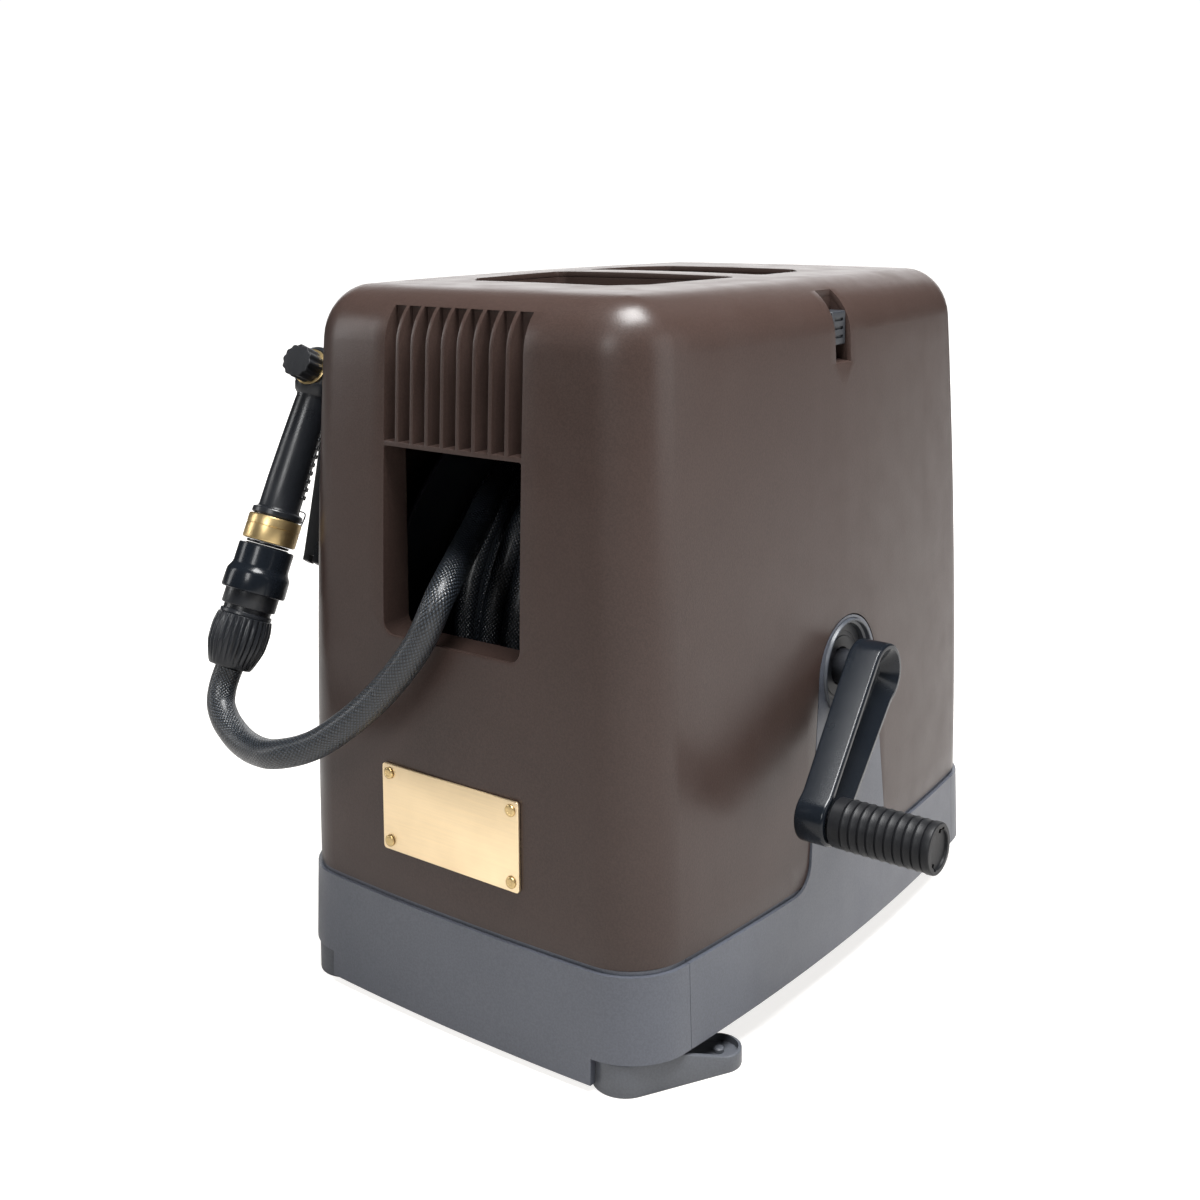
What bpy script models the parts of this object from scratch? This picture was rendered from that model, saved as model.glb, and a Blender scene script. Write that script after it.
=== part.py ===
"""Garden hose reel: a boxed reel with a lift-off cover, a cranked drum, wound hose and a hung spray gun.

Metres, +Z up. The front, with the hose window and the nameplate, faces -Y, and the crank is on +X.
The floor is at Z = 0, and the origin lies under the middle of the reel without its free hose end.
"""
import math

import bmesh
import bpy
from mathutils import Matrix, Vector

for old in list(bpy.data.objects):
    bpy.data.objects.remove(old, do_unlink=True)

# Clearances
gap = 0.0003               # between pieces that touch
bearing_gap = 0.0004       # round a turning shaft
reach = 0.02               # how far a cutter passes the faces that it cuts

# Housing
base_half_x = 0.1233       # half width at the foot of the side skirt
base_half_y = 0.1885       # half depth at the foot of the side skirt
bow_x = 0.0118             # how far each side bulges at its middle
bow_y = 0.0047             # how far the front and the back bulge at their middles
corner_radius = 0.029
wall = 0.003
side_skirt_z = 0.0179
front_skirt_z = 0.0039
front_skirt_half_x = 0.092
parting_z = 0.0626         # top edge of the base's outer wall
parting_groove = 0.0025    # shadow gap between the base's outer wall and the cover
cover_inset = 0.0015       # the cover stands in from the base's outer wall by this
cover_top_z = 0.395
crown = 0.002              # how far the top swells at its middle
base_draft = 0.0239        # metres in, per metre up
cover_draft_x = 0.0024
cover_draft_y = -0.0097
cover_curve_x = 0.067      # metres in, per metre up squared
cover_curve_y = 0.099
corner_steps = 4
lip_inset = 0.0022
lip_wall = 0.0024

# Hose window and vent louvres in the front
window_half_x = 0.0478
window_low_z = 0.210
window_high_z = 0.312
window_corner = 0.007
window_rail = 0.0025       # between the window and the vents
jamb_depth = 0.012
sill_drop = 0.005
vent_count = 9
vent_pitch = 0.0109
vent_fin = 0.0024
vent_top_drop = 0.009      # top of the slots below the cover's top
vent_high_z = cover_top_z - vent_top_drop
vent_depth = 0.010

# Carrying hole in the top: two openings with the carry bar between them
carry_half_x = 0.065
carry_front_y = -0.113
carry_rear_y = 0.080
carry_bar_half_y = 0.0135
carry_bar_drop = 0.018
carry_well_depth = 0.042
carry_well_floor_z = cover_top_z - carry_well_depth
carry_well_wall = 0.0025
carry_taper = 0.018        # how much narrower each opening is at its far edge, per side
carry_lean = 0.004         # how far each long end leans in before its corner is cut
carry_corner = 0.006
well_corner = 0.012
tunnel_end_room = 0.005    # from the openings' ends to the passage under the bar
tunnel_reach = 0.004       # how far that passage runs past the bar

# Drum and its axle
axle_z = 0.1764
axle_radius = 0.010
hub_ring_radius = 0.028
hub_disc_radius = 0.0245
hub_recess = 0.005
hub_ring_depth = 0.007
hub_ring_height = 0.0012
bearing_sleeve_radius = 0.014
drum_side_room = 0.0283    # from each flange's inner face to the foot of the side skirt
drum_half_x = base_half_x - drum_side_room
drum_top_room = 0.0321     # between the flanges and the well
flange_radius = carry_well_floor_z - carry_well_wall - drum_top_room - axle_z
flange_wall = 0.004
sleeve_room = 0.005        # between each flange and its bearing's sleeve
bearing_sleeve_in = drum_half_x + flange_wall + sleeve_room
hub_sleeve = 0.012         # how far each flange's own sleeve reaches along the axle
hub_sleeve_wall = 0.006
barrel_radius = 0.085
barrel_wall = 0.003

# Bell-shaped side panels
bell_cap = 0.0024          # above the hub ring
bell_top_z = axle_z + hub_ring_radius + bell_cap
bell_shoulder_half_y = 0.0335
bell_foot_half_y = 0.0444
bell_flare_half_y = 0.058
bell_flare_height = 0.011
bell_clearance = 0.0006
panel_corner_room = 0.0352
panel_half_y = base_half_y - panel_corner_room
panel_reach_x = 0.0215     # how far the panel's strip reaches in from the skirt's foot

# Hose
hose_radius = 0.008
inner_layers_depth = 0.0315
inner_layers_radius = barrel_radius + inner_layers_depth
outer_turns = 8
turn_pitch = 0.0166
winding_end_room = 0.0015
winding_start_x = drum_half_x - hose_radius - winding_end_room
loop_points = 24
leave_angle = math.radians(70)      # where the hose leaves the drum, above the front
leave_length = 0.072                # straight run up to the free end
first_angle = math.radians(-60)     # where the outer layer starts

# Crank
crank_radius = 0.1025
crank_drop = math.radians(29.4)     # how far the arm points below the front at rest
arm_hub_radius = 0.0175
arm_tip_radius = 0.0135
arm_standoff = 0.0056      # from the bell's face to the arm
arm_hub_depth = 0.019
arm_lean = 0.018           # how far the tip stands out from the hub
arm_tip_depth = 0.017
lean_start = 0.06          # share of the crank's radius, at either end, that stays flat
arm_wall = 0.003
arm_recess = 0.008
spindle_radius = 0.004
grip_radius = 0.013
grip_room = 0.0015         # between the arm and the grip
grip_length = 0.0555
grip_grooves = 10
groove_depth = 0.0009
groove_width = 0.002
grip_cap_wall = 0.0035
grip_cap_recess = 0.0015

# Feet
foot_inset_x = 0.0243
foot_inset_y = 0.0175
foot_pivot = (base_half_x - foot_inset_x, foot_inset_y - base_half_y)
foot_pivot_radius = 0.017
foot_tip_radius = 0.012
foot_reach = 0.0508
foot_angle = math.radians(55.8)     # from +X, for the right foot folded out
foot_height = side_skirt_z - gap
foot_tip_height = 0.009
foot_slope_start = 0.45    # share of the reach where the top starts to slope
foot_rim = 0.0018
foot_hollow_floor = 0.0055
foot_peg_radius = 0.0028
foot_peg_drop = 0.001      # top of the peg below the tip's top
foot_pin_radius = 0.0045
foot_pin_head = 0.0075
foot_pin_low_z = 0.0016
foot_pin_head_height = 0.0021
foot_pin_top = 0.006       # how far the pin stands above the tray's floor
rear_foot_inset_x = 0.0253
rear_foot_inset_y = 0.0305
rear_foot_middle = (base_half_x - rear_foot_inset_x, base_half_y - rear_foot_inset_y)
rear_foot_radius = 0.019
rear_pad_height = 0.004

# Nameplate
plate_width = 0.096
plate_height = 0.048
plate_z = 0.1153
plate_proud = 0.0012       # how far its face stands out at its middle
plate_depth = 0.0016
plate_corner = 0.002
rivet_inset = 0.0055
rivet_radius = 0.0022
rivet_top_radius = 0.00132
rivet_height = 0.0012

# Cover latches
latch_half_y = 0.00725
latch_drop = 0.0165        # top of the latch below the cover's top
latch_height = 0.0191
latch_high_z = cover_top_z - latch_drop
latch_low_z = latch_high_z - latch_height
latch_set_back = 0.0047    # from the foot of the side skirt in to the latch's face
latch_depth = 0.006
latch_face_x = base_half_x - latch_set_back
latch_back_x = latch_face_x - latch_depth
latch_travel = 0.007       # how far it slides down to let the cover go
latch_end_room = 0.0014    # left below it at the end of its travel
latch_head_room = 0.0055   # above it at rest, for a finger
latch_side_room = 0.0015
latch_grooves = 3
recess_half_y = latch_half_y + latch_side_room
recess_low_z = latch_low_z - latch_travel - latch_end_room
recess_high_z = latch_high_z + latch_head_room
recess_floor_x = latch_back_x - gap
housing_wall = 0.0025
upright_room = 0.0045      # between each flange and its upright
upright_x = drum_half_x + flange_wall + upright_room
upright_wall = 0.004
upright_half_y = 0.012
upright_top_z = recess_low_z + 0.001
upright_foot_room = 0.0011
upright_foot_z = axle_z + bearing_sleeve_radius + upright_foot_room
upright_foot_wall = 0.006

# Water inlet on the left hub
inlet_boss_radius = 0.015
inlet_boss_length = 0.0253
inlet_nipple_radius = 0.0075
inlet_nipple_length = 0.034
inlet_lean = math.radians(35)       # how far the nipple leans back from straight down

# Spray gun: its own frame has +Z up the grip and +Y along the spray, from the grip's top
gun_side_room = 0.0227     # from the foot of the side skirt out to the grip's top
gun_front_room = 0.0515    # from the foot of the front skirt back to it
gun_drop = 0.051           # below the cover's top
gun_top = Vector((-base_half_x - gun_side_room, gun_front_room - base_half_y, cover_top_z - gun_drop))
gun_down = Vector((-0.045, -0.388, -0.921)).normalized()
gun_spray = Vector((-0.195, 0.907, -0.370))
grip_top_radius = 0.0155
gun_collar_top = -0.010
gun_collar_end = -0.023
gun_handle_radius = 0.0125
gun_handle_end = -0.0905
gun_flange_radius = 0.016
gun_flange = 0.003
head_radius = 0.0135
head_z = -0.0045
head_front_y = 0.046
nose_radius = 0.019
nose_front_y = 0.062
rose_wall = 0.003
knob_radius = 0.0098
knob_lobes = 12
knob_wave = 0.0005         # half the depth of the dips between the lobes
knob_depth = 0.0137
knob_face_y = -0.0267
knob_ring_radius = 0.0106
knob_ring_depth = 0.0015
brass_radius = 0.0167
brass_top = -0.094
brass_end = -0.1145
stub_radius = 0.0125
stub_end = -0.1185
trigger_width = 0.012
trigger_wall = 0.0035
trigger_pivot = (0.020, -0.0215)
trigger_pin_radius = 0.0018
trigger_eye_wall = 0.0028
lug_wall = 0.0022
trigger_route = ((0.020, -0.0215), (0.0285, -0.045), (0.038, -0.078), (0.046, -0.108))
catch_half_x = 0.003
catch_depth = 0.0034
catch_low_z = -0.1135
catch_high_z = -0.1035
clip_pivot_z = -0.1050
clip_rise = 0.019
wire_radius = 0.0005
holder_set_back = 0.027    # behind the grip's top
holder_y = gun_top.y + holder_set_back
holder_half_y = 0.007
holder_low_z = gun_top.z - 0.040
holder_plate_half_y = 0.014
holder_plate_low_z = holder_low_z - 0.020
holder_plate_high_z = holder_low_z + 0.014
holder_plate_depth = 0.0035
holder_root = 0.020        # how far its block is made inside the cover's wall before it is trimmed

# Connector at the hose's free end, measured down the gun's own axis
connector_top = -0.119
collar_radius = 0.0147
collar_skirt_radius = 0.01775
collar_skirt_top = -0.1335
collar_end = -0.1405
collar_wall = 0.0022
collar_travel = 0.0045     # how far it slides back to let the gun go
collar_end_room = 0.001
connector_ring_top = collar_end - collar_travel - collar_end_room
connector_ring_radius = 0.0150
connector_ring_depth = 0.006
connector_end = connector_ring_top - connector_ring_depth
nut_top_radius = 0.0157
nut_wide_radius = 0.0170
nut_end_radius = 0.0123
nut_length = 0.030
nut_end = connector_end - nut_length

# Free hose end, from the drum through the window and round to the gun: route points chosen by hand
lead_route = (
    (-0.0048, -0.1919, 0.2400),
    (-0.0126, -0.2040, 0.2117),
    (-0.0369, -0.2105, 0.1800),
    (-0.0660, -0.2200, 0.1547),
    (-0.0900, -0.2270, 0.1450),
    (-0.1120, -0.2250, 0.1415),
    (-0.1320, -0.2215, 0.1440),
    (-0.1490, -0.2175, 0.1530),
)
lead_points = 22

# Place of the reel's own middle from the body's middle line
frame_x = 0.026036
frame_y = -0.001256

OUT = bpy.data.collections.new("hose_reel")
CUT = bpy.data.collections.new("hose_reel_cutters")
bpy.context.scene.collection.children.link(OUT)
bpy.context.scene.collection.children.link(CUT)

ALONG_X = Matrix.Rotation(math.pi / 2, 4, "Y")
Y_Z_PLANE = Matrix(((0, 0, 1, 0), (1, 0, 0, 0), (0, 1, 0, 0), (0, 0, 0, 1)))
X_Z_PLANE = Matrix.Rotation(math.pi / 2, 4, "X")


def paint(name, colour, roughness, metallic=0.0):
    """A plain surface colour for one kind of material."""
    made = bpy.data.materials.new(name)
    made.use_nodes = True
    shader = made.node_tree.nodes["Principled BSDF"]
    shader.inputs["Base Color"].default_value = (*colour, 1.0)
    shader.inputs["Roughness"].default_value = roughness
    shader.inputs["Metallic"].default_value = metallic
    return made


LOOKS = {
    "cover_brown": ((0.105, 0.083, 0.075), 0.62, 0.0),
    "base_grey": ((0.075, 0.080, 0.092), 0.60, 0.0),
    "hub_grey": ((0.210, 0.220, 0.240), 0.50, 0.0),
    "drum_black": ((0.020, 0.021, 0.023), 0.55, 0.0),
    "hose_black": ((0.022, 0.024, 0.027), 0.45, 0.0),
    "gloss_black": ((0.012, 0.012, 0.013), 0.16, 0.0),
    "gun_black": ((0.018, 0.019, 0.020), 0.38, 0.0),
    "grip_grey": ((0.040, 0.042, 0.046), 0.55, 0.0),
    "latch_grey": ((0.065, 0.068, 0.075), 0.50, 0.0),
    "plate_brass": ((0.800, 0.640, 0.380), 0.30, 0.9),
    "satin_brass": ((0.640, 0.460, 0.190), 0.32, 1.0),
    "steel": ((0.600, 0.600, 0.600), 0.30, 1.0),
    "pad_rubber": ((0.020, 0.020, 0.020), 0.80, 0.0),
}


def empty(name, place, parent=None):
    """A bare point that pieces hang from."""
    made = bpy.data.objects.new(name, None)
    made.empty_display_size = 0.02
    made.matrix_basis = place
    made.parent = parent
    OUT.objects.link(made)
    return made


def add(name, mesh, look, parent, place=Matrix.Identity(4)):
    """One named piece with its own material."""
    made = bpy.data.objects.new(name, mesh)
    mesh.materials.clear()
    mesh.materials.append(paint(name + "_" + look, *LOOKS[look]))
    mesh.shade_smooth()
    mesh.set_sharp_from_angle(angle=math.radians(30))
    made.matrix_basis = place
    made.parent = parent
    OUT.objects.link(made)
    return made


def cutter(name, mesh, parent, place=Matrix.Identity(4)):
    """A shape that only cuts, joins or trims others."""
    made = bpy.data.objects.new(name, mesh)
    made.hide_render = True
    made.display_type = "WIRE"
    made.matrix_basis = place
    made.parent = parent
    CUT.objects.link(made)
    return made


def boolean(target, other, operation="DIFFERENCE"):
    step = target.modifiers.new(operation.lower() + "_" + other.name, "BOOLEAN")
    step.operation = operation
    step.solver = "EXACT"
    step.object = other


def bevelled(target, width, segments=2, angle=40):
    step = target.modifiers.new("edges", "BEVEL")
    step.width = width
    step.segments = segments
    step.limit_method = "ANGLE"
    step.angle_limit = math.radians(angle)


def mesh_from(bm, name):
    mesh = bpy.data.meshes.new(name)
    bm.to_mesh(mesh)
    bm.free()
    return mesh


def box(low, high, name="box"):
    """A box between two corners."""
    bm = bmesh.new()
    bmesh.ops.create_cube(bm, size=1.0)
    low, high = Vector(low), Vector(high)
    size = high - low
    bmesh.ops.scale(bm, vec=size, verts=bm.verts)
    bmesh.ops.translate(bm, vec=(low + high) / 2, verts=bm.verts)
    return mesh_from(bm, name)


def rod(radius, low, high, sides=24, far_radius=None, name="rod"):
    """A round bar along Z from low to high."""
    bm = bmesh.new()
    place = Matrix.Translation((0, 0, (low + high) / 2))
    bmesh.ops.create_cone(bm, cap_ends=True, segments=sides, radius1=radius,
                          radius2=radius if far_radius is None else far_radius,
                          depth=high - low, matrix=place)
    return mesh_from(bm, name)


def joined(meshes, name="joined"):
    """Separate closed shapes in one mesh."""
    bm = bmesh.new()
    for mesh in meshes:
        bm.from_mesh(mesh)
    return mesh_from(bm, name)


def moved(mesh, place):
    mesh.transform(place)
    return mesh


def turned(profile, steps=24, closed=False, name="turned"):
    """A mesh turned about Z from (radius, z) points that run down the outer side."""
    bm = bmesh.new()
    verts = [bm.verts.new((r, 0, z)) for r, z in profile]
    for a, b in zip(verts, verts[1:]):
        bm.edges.new((a, b))
    if closed:
        bm.edges.new((verts[-1], verts[0]))
    guide = bpy.data.objects.new(name, mesh_from(bm, name))
    CUT.objects.link(guide)
    step = guide.modifiers.new("turn", "SCREW")
    step.axis = "Z"
    step.angle = math.tau
    step.steps = steps
    step.render_steps = steps
    step.use_merge_vertices = True
    step.merge_threshold = 0.00001
    return baked(guide, name)


def baked(guide, name):
    """The evaluated mesh of a guide, with its loose caps welded; the guide is removed."""
    bpy.context.view_layer.update()
    graph = bpy.context.evaluated_depsgraph_get()
    mesh = bpy.data.meshes.new_from_object(guide.evaluated_get(graph))
    bm = bmesh.new()
    bm.from_mesh(mesh)
    bmesh.ops.remove_doubles(bm, verts=bm.verts, dist=0.00002)
    bm.to_mesh(mesh)
    bm.free()
    mesh.transform(guide.matrix_world)
    mesh.name = name
    bpy.data.objects.remove(guide, do_unlink=True)
    return mesh


def prism(outline, depth, name="prism"):
    """A flat outline in XY, extruded by half the depth to each side of Z = 0."""
    curve = bpy.data.curves.new(name, "CURVE")
    curve.dimensions = "2D"
    curve.fill_mode = "BOTH"
    curve.extrude = depth / 2
    spline = curve.splines.new("POLY")
    spline.points.add(len(outline) - 1)
    for point, (x, y) in zip(spline.points, outline):
        point.co = (x, y, 0, 1)
    spline.use_cyclic_u = True
    guide = bpy.data.objects.new(name, curve)
    CUT.objects.link(guide)
    return baked(guide, name)


def tube(points, radius, resolution, name="tube"):
    """A round bar along straight runs between points, with flat ends."""
    curve = bpy.data.curves.new(name, "CURVE")
    curve.dimensions = "3D"
    curve.bevel_depth = radius
    curve.bevel_resolution = resolution
    curve.use_fill_caps = True
    spline = curve.splines.new("POLY")
    spline.points.add(len(points) - 1)
    for point, place in zip(spline.points, points):
        point.co = (*place, 1)
    guide = bpy.data.objects.new(name, curve)
    CUT.objects.link(guide)
    return baked(guide, name)


def rounded(corners, radius, steps=4):
    """An outline with each corner turned into an arc."""
    out = []
    count = len(corners)
    for i, corner in enumerate(corners):
        here = Vector(corner)
        before = (Vector(corners[i - 1]) - here).normalized()
        after = (Vector(corners[(i + 1) % count]) - here).normalized()
        half = before.angle(after) / 2
        size = radius[i] if isinstance(radius, (list, tuple)) else radius
        middle = here + (before + after).normalized() * (size / math.sin(half))
        start = here + before * (size / math.tan(half)) - middle
        end = here + after * (size / math.tan(half)) - middle
        sweep = start.angle_signed(end)
        for k in range(steps + 1):
            turn = Matrix.Rotation(-sweep * k / steps, 2)
            out.append(tuple(middle + turn @ start))
    return out


def base_half(z, inset):
    """Half width and half depth of the base at height z."""
    lean = base_draft * (z - side_skirt_z) + inset
    return base_half_x - lean, base_half_y - lean


def cover_half(z, inset):
    """Half width and half depth of the cover at height z."""
    low_x, low_y = base_half(parting_z, cover_inset + inset)
    up = z - parting_z
    return (low_x - cover_draft_x * up - cover_curve_x * up * up,
            low_y - cover_draft_y * up - cover_curve_y * up * up)


def body_block(low_z, high_z, half_at, inset=0.0, round_top=False, levels=(), crowned=0.0):
    """A closed block with round corners whose sides bow out and lean as the housing's do."""
    size_x, size_y = base_half_x, base_half_y
    corner = corner_radius - inset
    bm = bmesh.new()
    bmesh.ops.create_cube(bm, size=2.0)
    half_z = (high_z - low_z) / 2
    bmesh.ops.scale(bm, vec=(size_x, size_y, half_z), verts=bm.verts)
    bmesh.ops.translate(bm, vec=(0, 0, low_z + half_z), verts=bm.verts)
    edges = []
    for edge in bm.edges:
        a, b = edge.verts
        upright = abs(a.co.z - b.co.z) > half_z
        on_top = a.co.z > high_z - 0.0001 and b.co.z > high_z - 0.0001
        if upright or (round_top and on_top):
            edges.append(edge)
    bmesh.ops.bevel(bm, geom=edges, offset=corner, segments=corner_steps, profile=0.5, affect="EDGES")
    cuts = [((x, 0, 0), (1, 0, 0)) for x in (-0.5 * size_x, 0, 0.5 * size_x)]
    cuts += [((0, y, 0), (0, 1, 0)) for y in (-0.5 * size_y, 0, 0.5 * size_y)]
    cuts += [((0, 0, z), (0, 0, 1)) for z in levels]
    for place, normal in cuts:
        everything = list(bm.verts) + list(bm.edges) + list(bm.faces)
        bmesh.ops.bisect_plane(bm, geom=everything, dist=0.00001, plane_co=place, plane_no=normal)
    for vert in bm.verts:
        x, y, z = vert.co
        share_x, share_y = x / size_x, y / size_y
        half_x, half_y = half_at(z, inset)
        vert.co.x = share_x * (half_x + bow_x * (1 - share_y ** 2))
        vert.co.y = share_y * (half_y + bow_y * (1 - share_x ** 2))
        if crowned:
            rise = max(0.0, (z - (high_z - corner)) / corner)
            vert.co.z += crowned * rise * (1 - share_x ** 2) * (1 - share_y ** 2)
    return bm


def open_shell(bm, name, low_z, high_z, bottom_open=True, top_open=False):
    """The block's outer skin without the faces at its open ends."""
    doomed = []
    for face in bm.faces:
        heights = [v.co.z for v in face.verts]
        if bottom_open and max(heights) < low_z + 0.0001:
            doomed.append(face)
        if top_open and min(heights) > high_z - 0.0001:
            doomed.append(face)
    bmesh.ops.delete(bm, geom=doomed, context="FACES")
    return mesh_from(bm, name)


def thick(target, depth):
    """Gives an open skin its wall, inwards."""
    step = target.modifiers.new("wall", "SOLIDIFY")
    step.thickness = depth
    step.offset = -1.0
    step.use_even_offset = True


COVER_LEVELS = (0.14, 0.22, 0.30)
reel = empty("reel", Matrix.Translation((-frame_x, -frame_y, 0)))


def skin_cutter(name, low_z, high_z, half_at, depth, inset=0.0, levels=(), floor=False):
    """A band of the housing's wall, for trimming or joining."""
    bm = body_block(low_z, high_z, half_at, inset, False, levels)
    mesh = open_shell(bm, name, low_z, high_z, not floor, True)
    made = cutter(name, mesh, reel)
    thick(made, depth)
    return made


# Base tray: front and back walls with their skirts, the floor and the lip that carries the cover
tray = add("base_tray", open_shell(body_block(side_skirt_z, parting_z, base_half), "base_tray",
                                   side_skirt_z, parting_z, False, True), "base_grey", reel)
thick(tray, wall)
lip_low_z = parting_z - 0.006
lip_high_z = parting_z + parting_groove - gap
lip = skin_cutter("lip_band", lip_low_z, lip_high_z, base_half, lip_wall, lip_inset)
boolean(tray, lip, "UNION")
skirt = skin_cutter("skirt_band", front_skirt_z, side_skirt_z + wall, base_half, wall + 0.001)
skirt_trim = cutter("skirt_trim", joined([
    box((-front_skirt_half_x, -base_half_y - reach, front_skirt_z - reach),
        (front_skirt_half_x, -base_half_y + wall + bow_y, side_skirt_z + 0.002)),
    box((-front_skirt_half_x, base_half_y - wall - bow_y, front_skirt_z - reach),
        (front_skirt_half_x, base_half_y + reach, side_skirt_z + 0.002))]), reel)
boolean(skirt, skirt_trim, "INTERSECT")
boolean(tray, skirt, "UNION")
bay_inner_x = base_half_x - panel_reach_x
bay_outer_x = base_half_x + bow_x + reach
side_bay = cutter("side_bay", joined([
    box((min(side * bay_inner_x, side * bay_outer_x), -panel_half_y - gap, side_skirt_z - reach),
        (max(side * bay_inner_x, side * bay_outer_x), panel_half_y + gap, parting_z + reach))
    for side in (1, -1)]), reel)
boolean(tray, side_bay)


def bell_outline(shrink):
    """Bell shape in (y, z), as wide as the cut-out in the cover less the given amount."""
    shoulder = bell_shoulder_half_y
    shoulder_z = bell_top_z - shoulder
    foot_z = parting_z + bell_flare_height
    low_z = parting_z - 0.008
    right = [(bell_flare_half_y, low_z), (bell_flare_half_y, parting_z)]
    flare = bell_flare_half_y - bell_foot_half_y
    for k in range(1, 5):
        turn = math.pi / 2 * k / 4
        right.append((bell_flare_half_y - flare * math.sin(turn),
                      foot_z - bell_flare_height * math.cos(turn)))
    for k in range(9):
        turn = math.pi / 2 * k / 8
        right.append((shoulder * math.cos(turn), shoulder_z + shoulder * math.sin(turn)))
    right = [(max(y - shrink, 0.0), z - (shrink if z > shoulder_z else 0)) for y, z in right]
    return right + [(-y, z) for y, z in reversed(right[:-1])]


# Side panels: a strip of the base's wall with the bell that carries the axle
for side, hand in ((1, "right"), (-1, "left")):
    inner_x = bay_inner_x + gap
    low_x, high_x = sorted((side * inner_x, side * bay_outer_x))
    panel = add("side_panel_" + hand,
                open_shell(body_block(side_skirt_z, parting_z, base_half), "side_panel_" + hand,
                           side_skirt_z, parting_z, False, True), "base_grey", reel)
    thick(panel, wall)
    panel_lip = skin_cutter("panel_lip_" + hand, lip_low_z, lip_high_z, base_half, lip_wall, lip_inset)
    boolean(panel, panel_lip, "UNION")
    strip_trim = cutter("strip_trim_" + hand, box((low_x, -panel_half_y, side_skirt_z - reach),
                                                  (high_x, panel_half_y, parting_z + reach)), reel)
    boolean(panel, strip_trim, "INTERSECT")
    bell_skin = skin_cutter("bell_skin_" + hand, parting_z - 0.007, bell_top_z + 0.01, cover_half, wall,
                            levels=(0.09, 0.12, 0.15, 0.18))
    bell_trim = cutter("bell_trim_" + hand, moved(
        prism(bell_outline(bell_clearance), bay_outer_x - inner_x + reach),
        Matrix.Translation((side * (bay_outer_x + inner_x) / 2, 0, 0)) @ Y_Z_PLANE), reel)
    boolean(bell_skin, bell_trim, "INTERSECT")
    boolean(panel, bell_skin, "UNION")
    hub_place = Matrix.Translation((side * base_half_x, 0, axle_z)) @ ALONG_X
    hub_rod = moved(rod(hub_ring_radius + gap, -reach, reach, 32), hub_place)
    hub_hole = cutter("hub_hole_" + hand, hub_rod, reel)
    boolean(panel, hub_hole)

# Along the axle: the bell's face, then the crank arm's two ends, then the grip
hub_face_x = cover_half(axle_z, 0)[0] + bow_x
arm_hub_x = hub_face_x + arm_standoff
arm_tip_x = arm_hub_x + arm_lean
grip_start_x = arm_tip_x + arm_tip_depth + grip_room

# Hub bearings: a ring flush with the bell round a recessed disc, with a sleeve for the axle
for side, hand in ((1, "right"), (-1, "left")):
    ring_back = hub_face_x - hub_ring_depth
    disc_face = hub_face_x - hub_recess
    profile = [(axle_radius + bearing_gap, disc_face), (hub_disc_radius, disc_face),
               (hub_disc_radius + 0.0004, hub_face_x + hub_ring_height),
               (hub_ring_radius - 0.0006, hub_face_x + hub_ring_height),
               (hub_ring_radius, hub_face_x + hub_ring_height - 0.0006),
               (hub_ring_radius, ring_back), (bearing_sleeve_radius, ring_back),
               (bearing_sleeve_radius, bearing_sleeve_in), (axle_radius + bearing_gap, bearing_sleeve_in)]
    turn = ALONG_X if side > 0 else Matrix.Rotation(-math.pi / 2, 4, "Y")
    add("hub_bearing_" + hand, turned(profile, 24, True), "hub_grey", reel,
        Matrix.Translation((0, 0, axle_z)) @ turn)

# Uprights: they stand on the bells inside the cover and reach up to the latches
for side, hand in ((1, "right"), (-1, "left")):
    mirror = Matrix.Rotation(0 if side > 0 else math.pi, 4, "Z")
    plate = box((upright_x, -upright_half_y, upright_foot_z),
                (upright_x + upright_wall, upright_half_y, upright_top_z))
    step = box((upright_x + 0.001, -upright_half_y, upright_foot_z),
               (hub_face_x - hub_ring_depth - gap, upright_half_y, upright_foot_z + upright_foot_wall))
    upright = add("upright_" + hand, moved(plate, mirror), "base_grey", reel)
    boolean(upright, cutter("upright_foot_" + hand, moved(step, mirror), reel), "UNION")

# Cover shell
shell = add("cover_shell", open_shell(
    body_block(parting_z + parting_groove, cover_top_z, cover_half, 0, True, COVER_LEVELS, crown),
    "cover_shell", parting_z + parting_groove, cover_top_z), "cover_brown", reel)
thick(shell, wall)


def cover_solid(name, inset):
    """The solid inside the cover's outer face, drawn in by the given amount."""
    return cutter(name, mesh_from(body_block(parting_z, cover_top_z - inset, cover_half, inset, True,
                                             COVER_LEVELS, crown), name), reel)


front_y = -(cover_half(window_high_z, 0)[1] + bow_y)
frame_front = -(cover_half(window_high_z, 0)[1]) + 0.0006
window_shape = rounded([(-window_half_x, window_low_z), (window_half_x, window_low_z),
                        (window_half_x, window_high_z), (-window_half_x, window_high_z)],
                       (window_corner, window_corner, 0.001, 0.001))
frame_half_x = window_half_x + wall
vent_low_z = window_high_z + window_rail
frame_shape = rounded([(-frame_half_x, window_low_z - wall), (frame_half_x, window_low_z - wall),
                       (frame_half_x, vent_low_z), (-frame_half_x, vent_low_z)],
                      (window_corner + wall, window_corner + wall, 0.002, 0.002))
jamb = cutter("window_jamb", moved(prism(frame_shape, jamb_depth), Matrix.Translation(
    (0, frame_front + jamb_depth / 2, 0)) @ X_Z_PLANE), reel)
boolean(shell, jamb, "UNION")
vent_block = cutter("vent_block", box(
    (-window_half_x - wall, front_y - reach, window_high_z + window_rail / 5),
    (window_half_x + wall, frame_front + vent_depth, vent_high_z + wall + 0.001)), reel)
boolean(vent_block, cover_solid("vent_bound", wall / 2), "INTERSECT")
boolean(shell, vent_block, "UNION")
window_cut_depth = 2 * (jamb_depth + reach)
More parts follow.
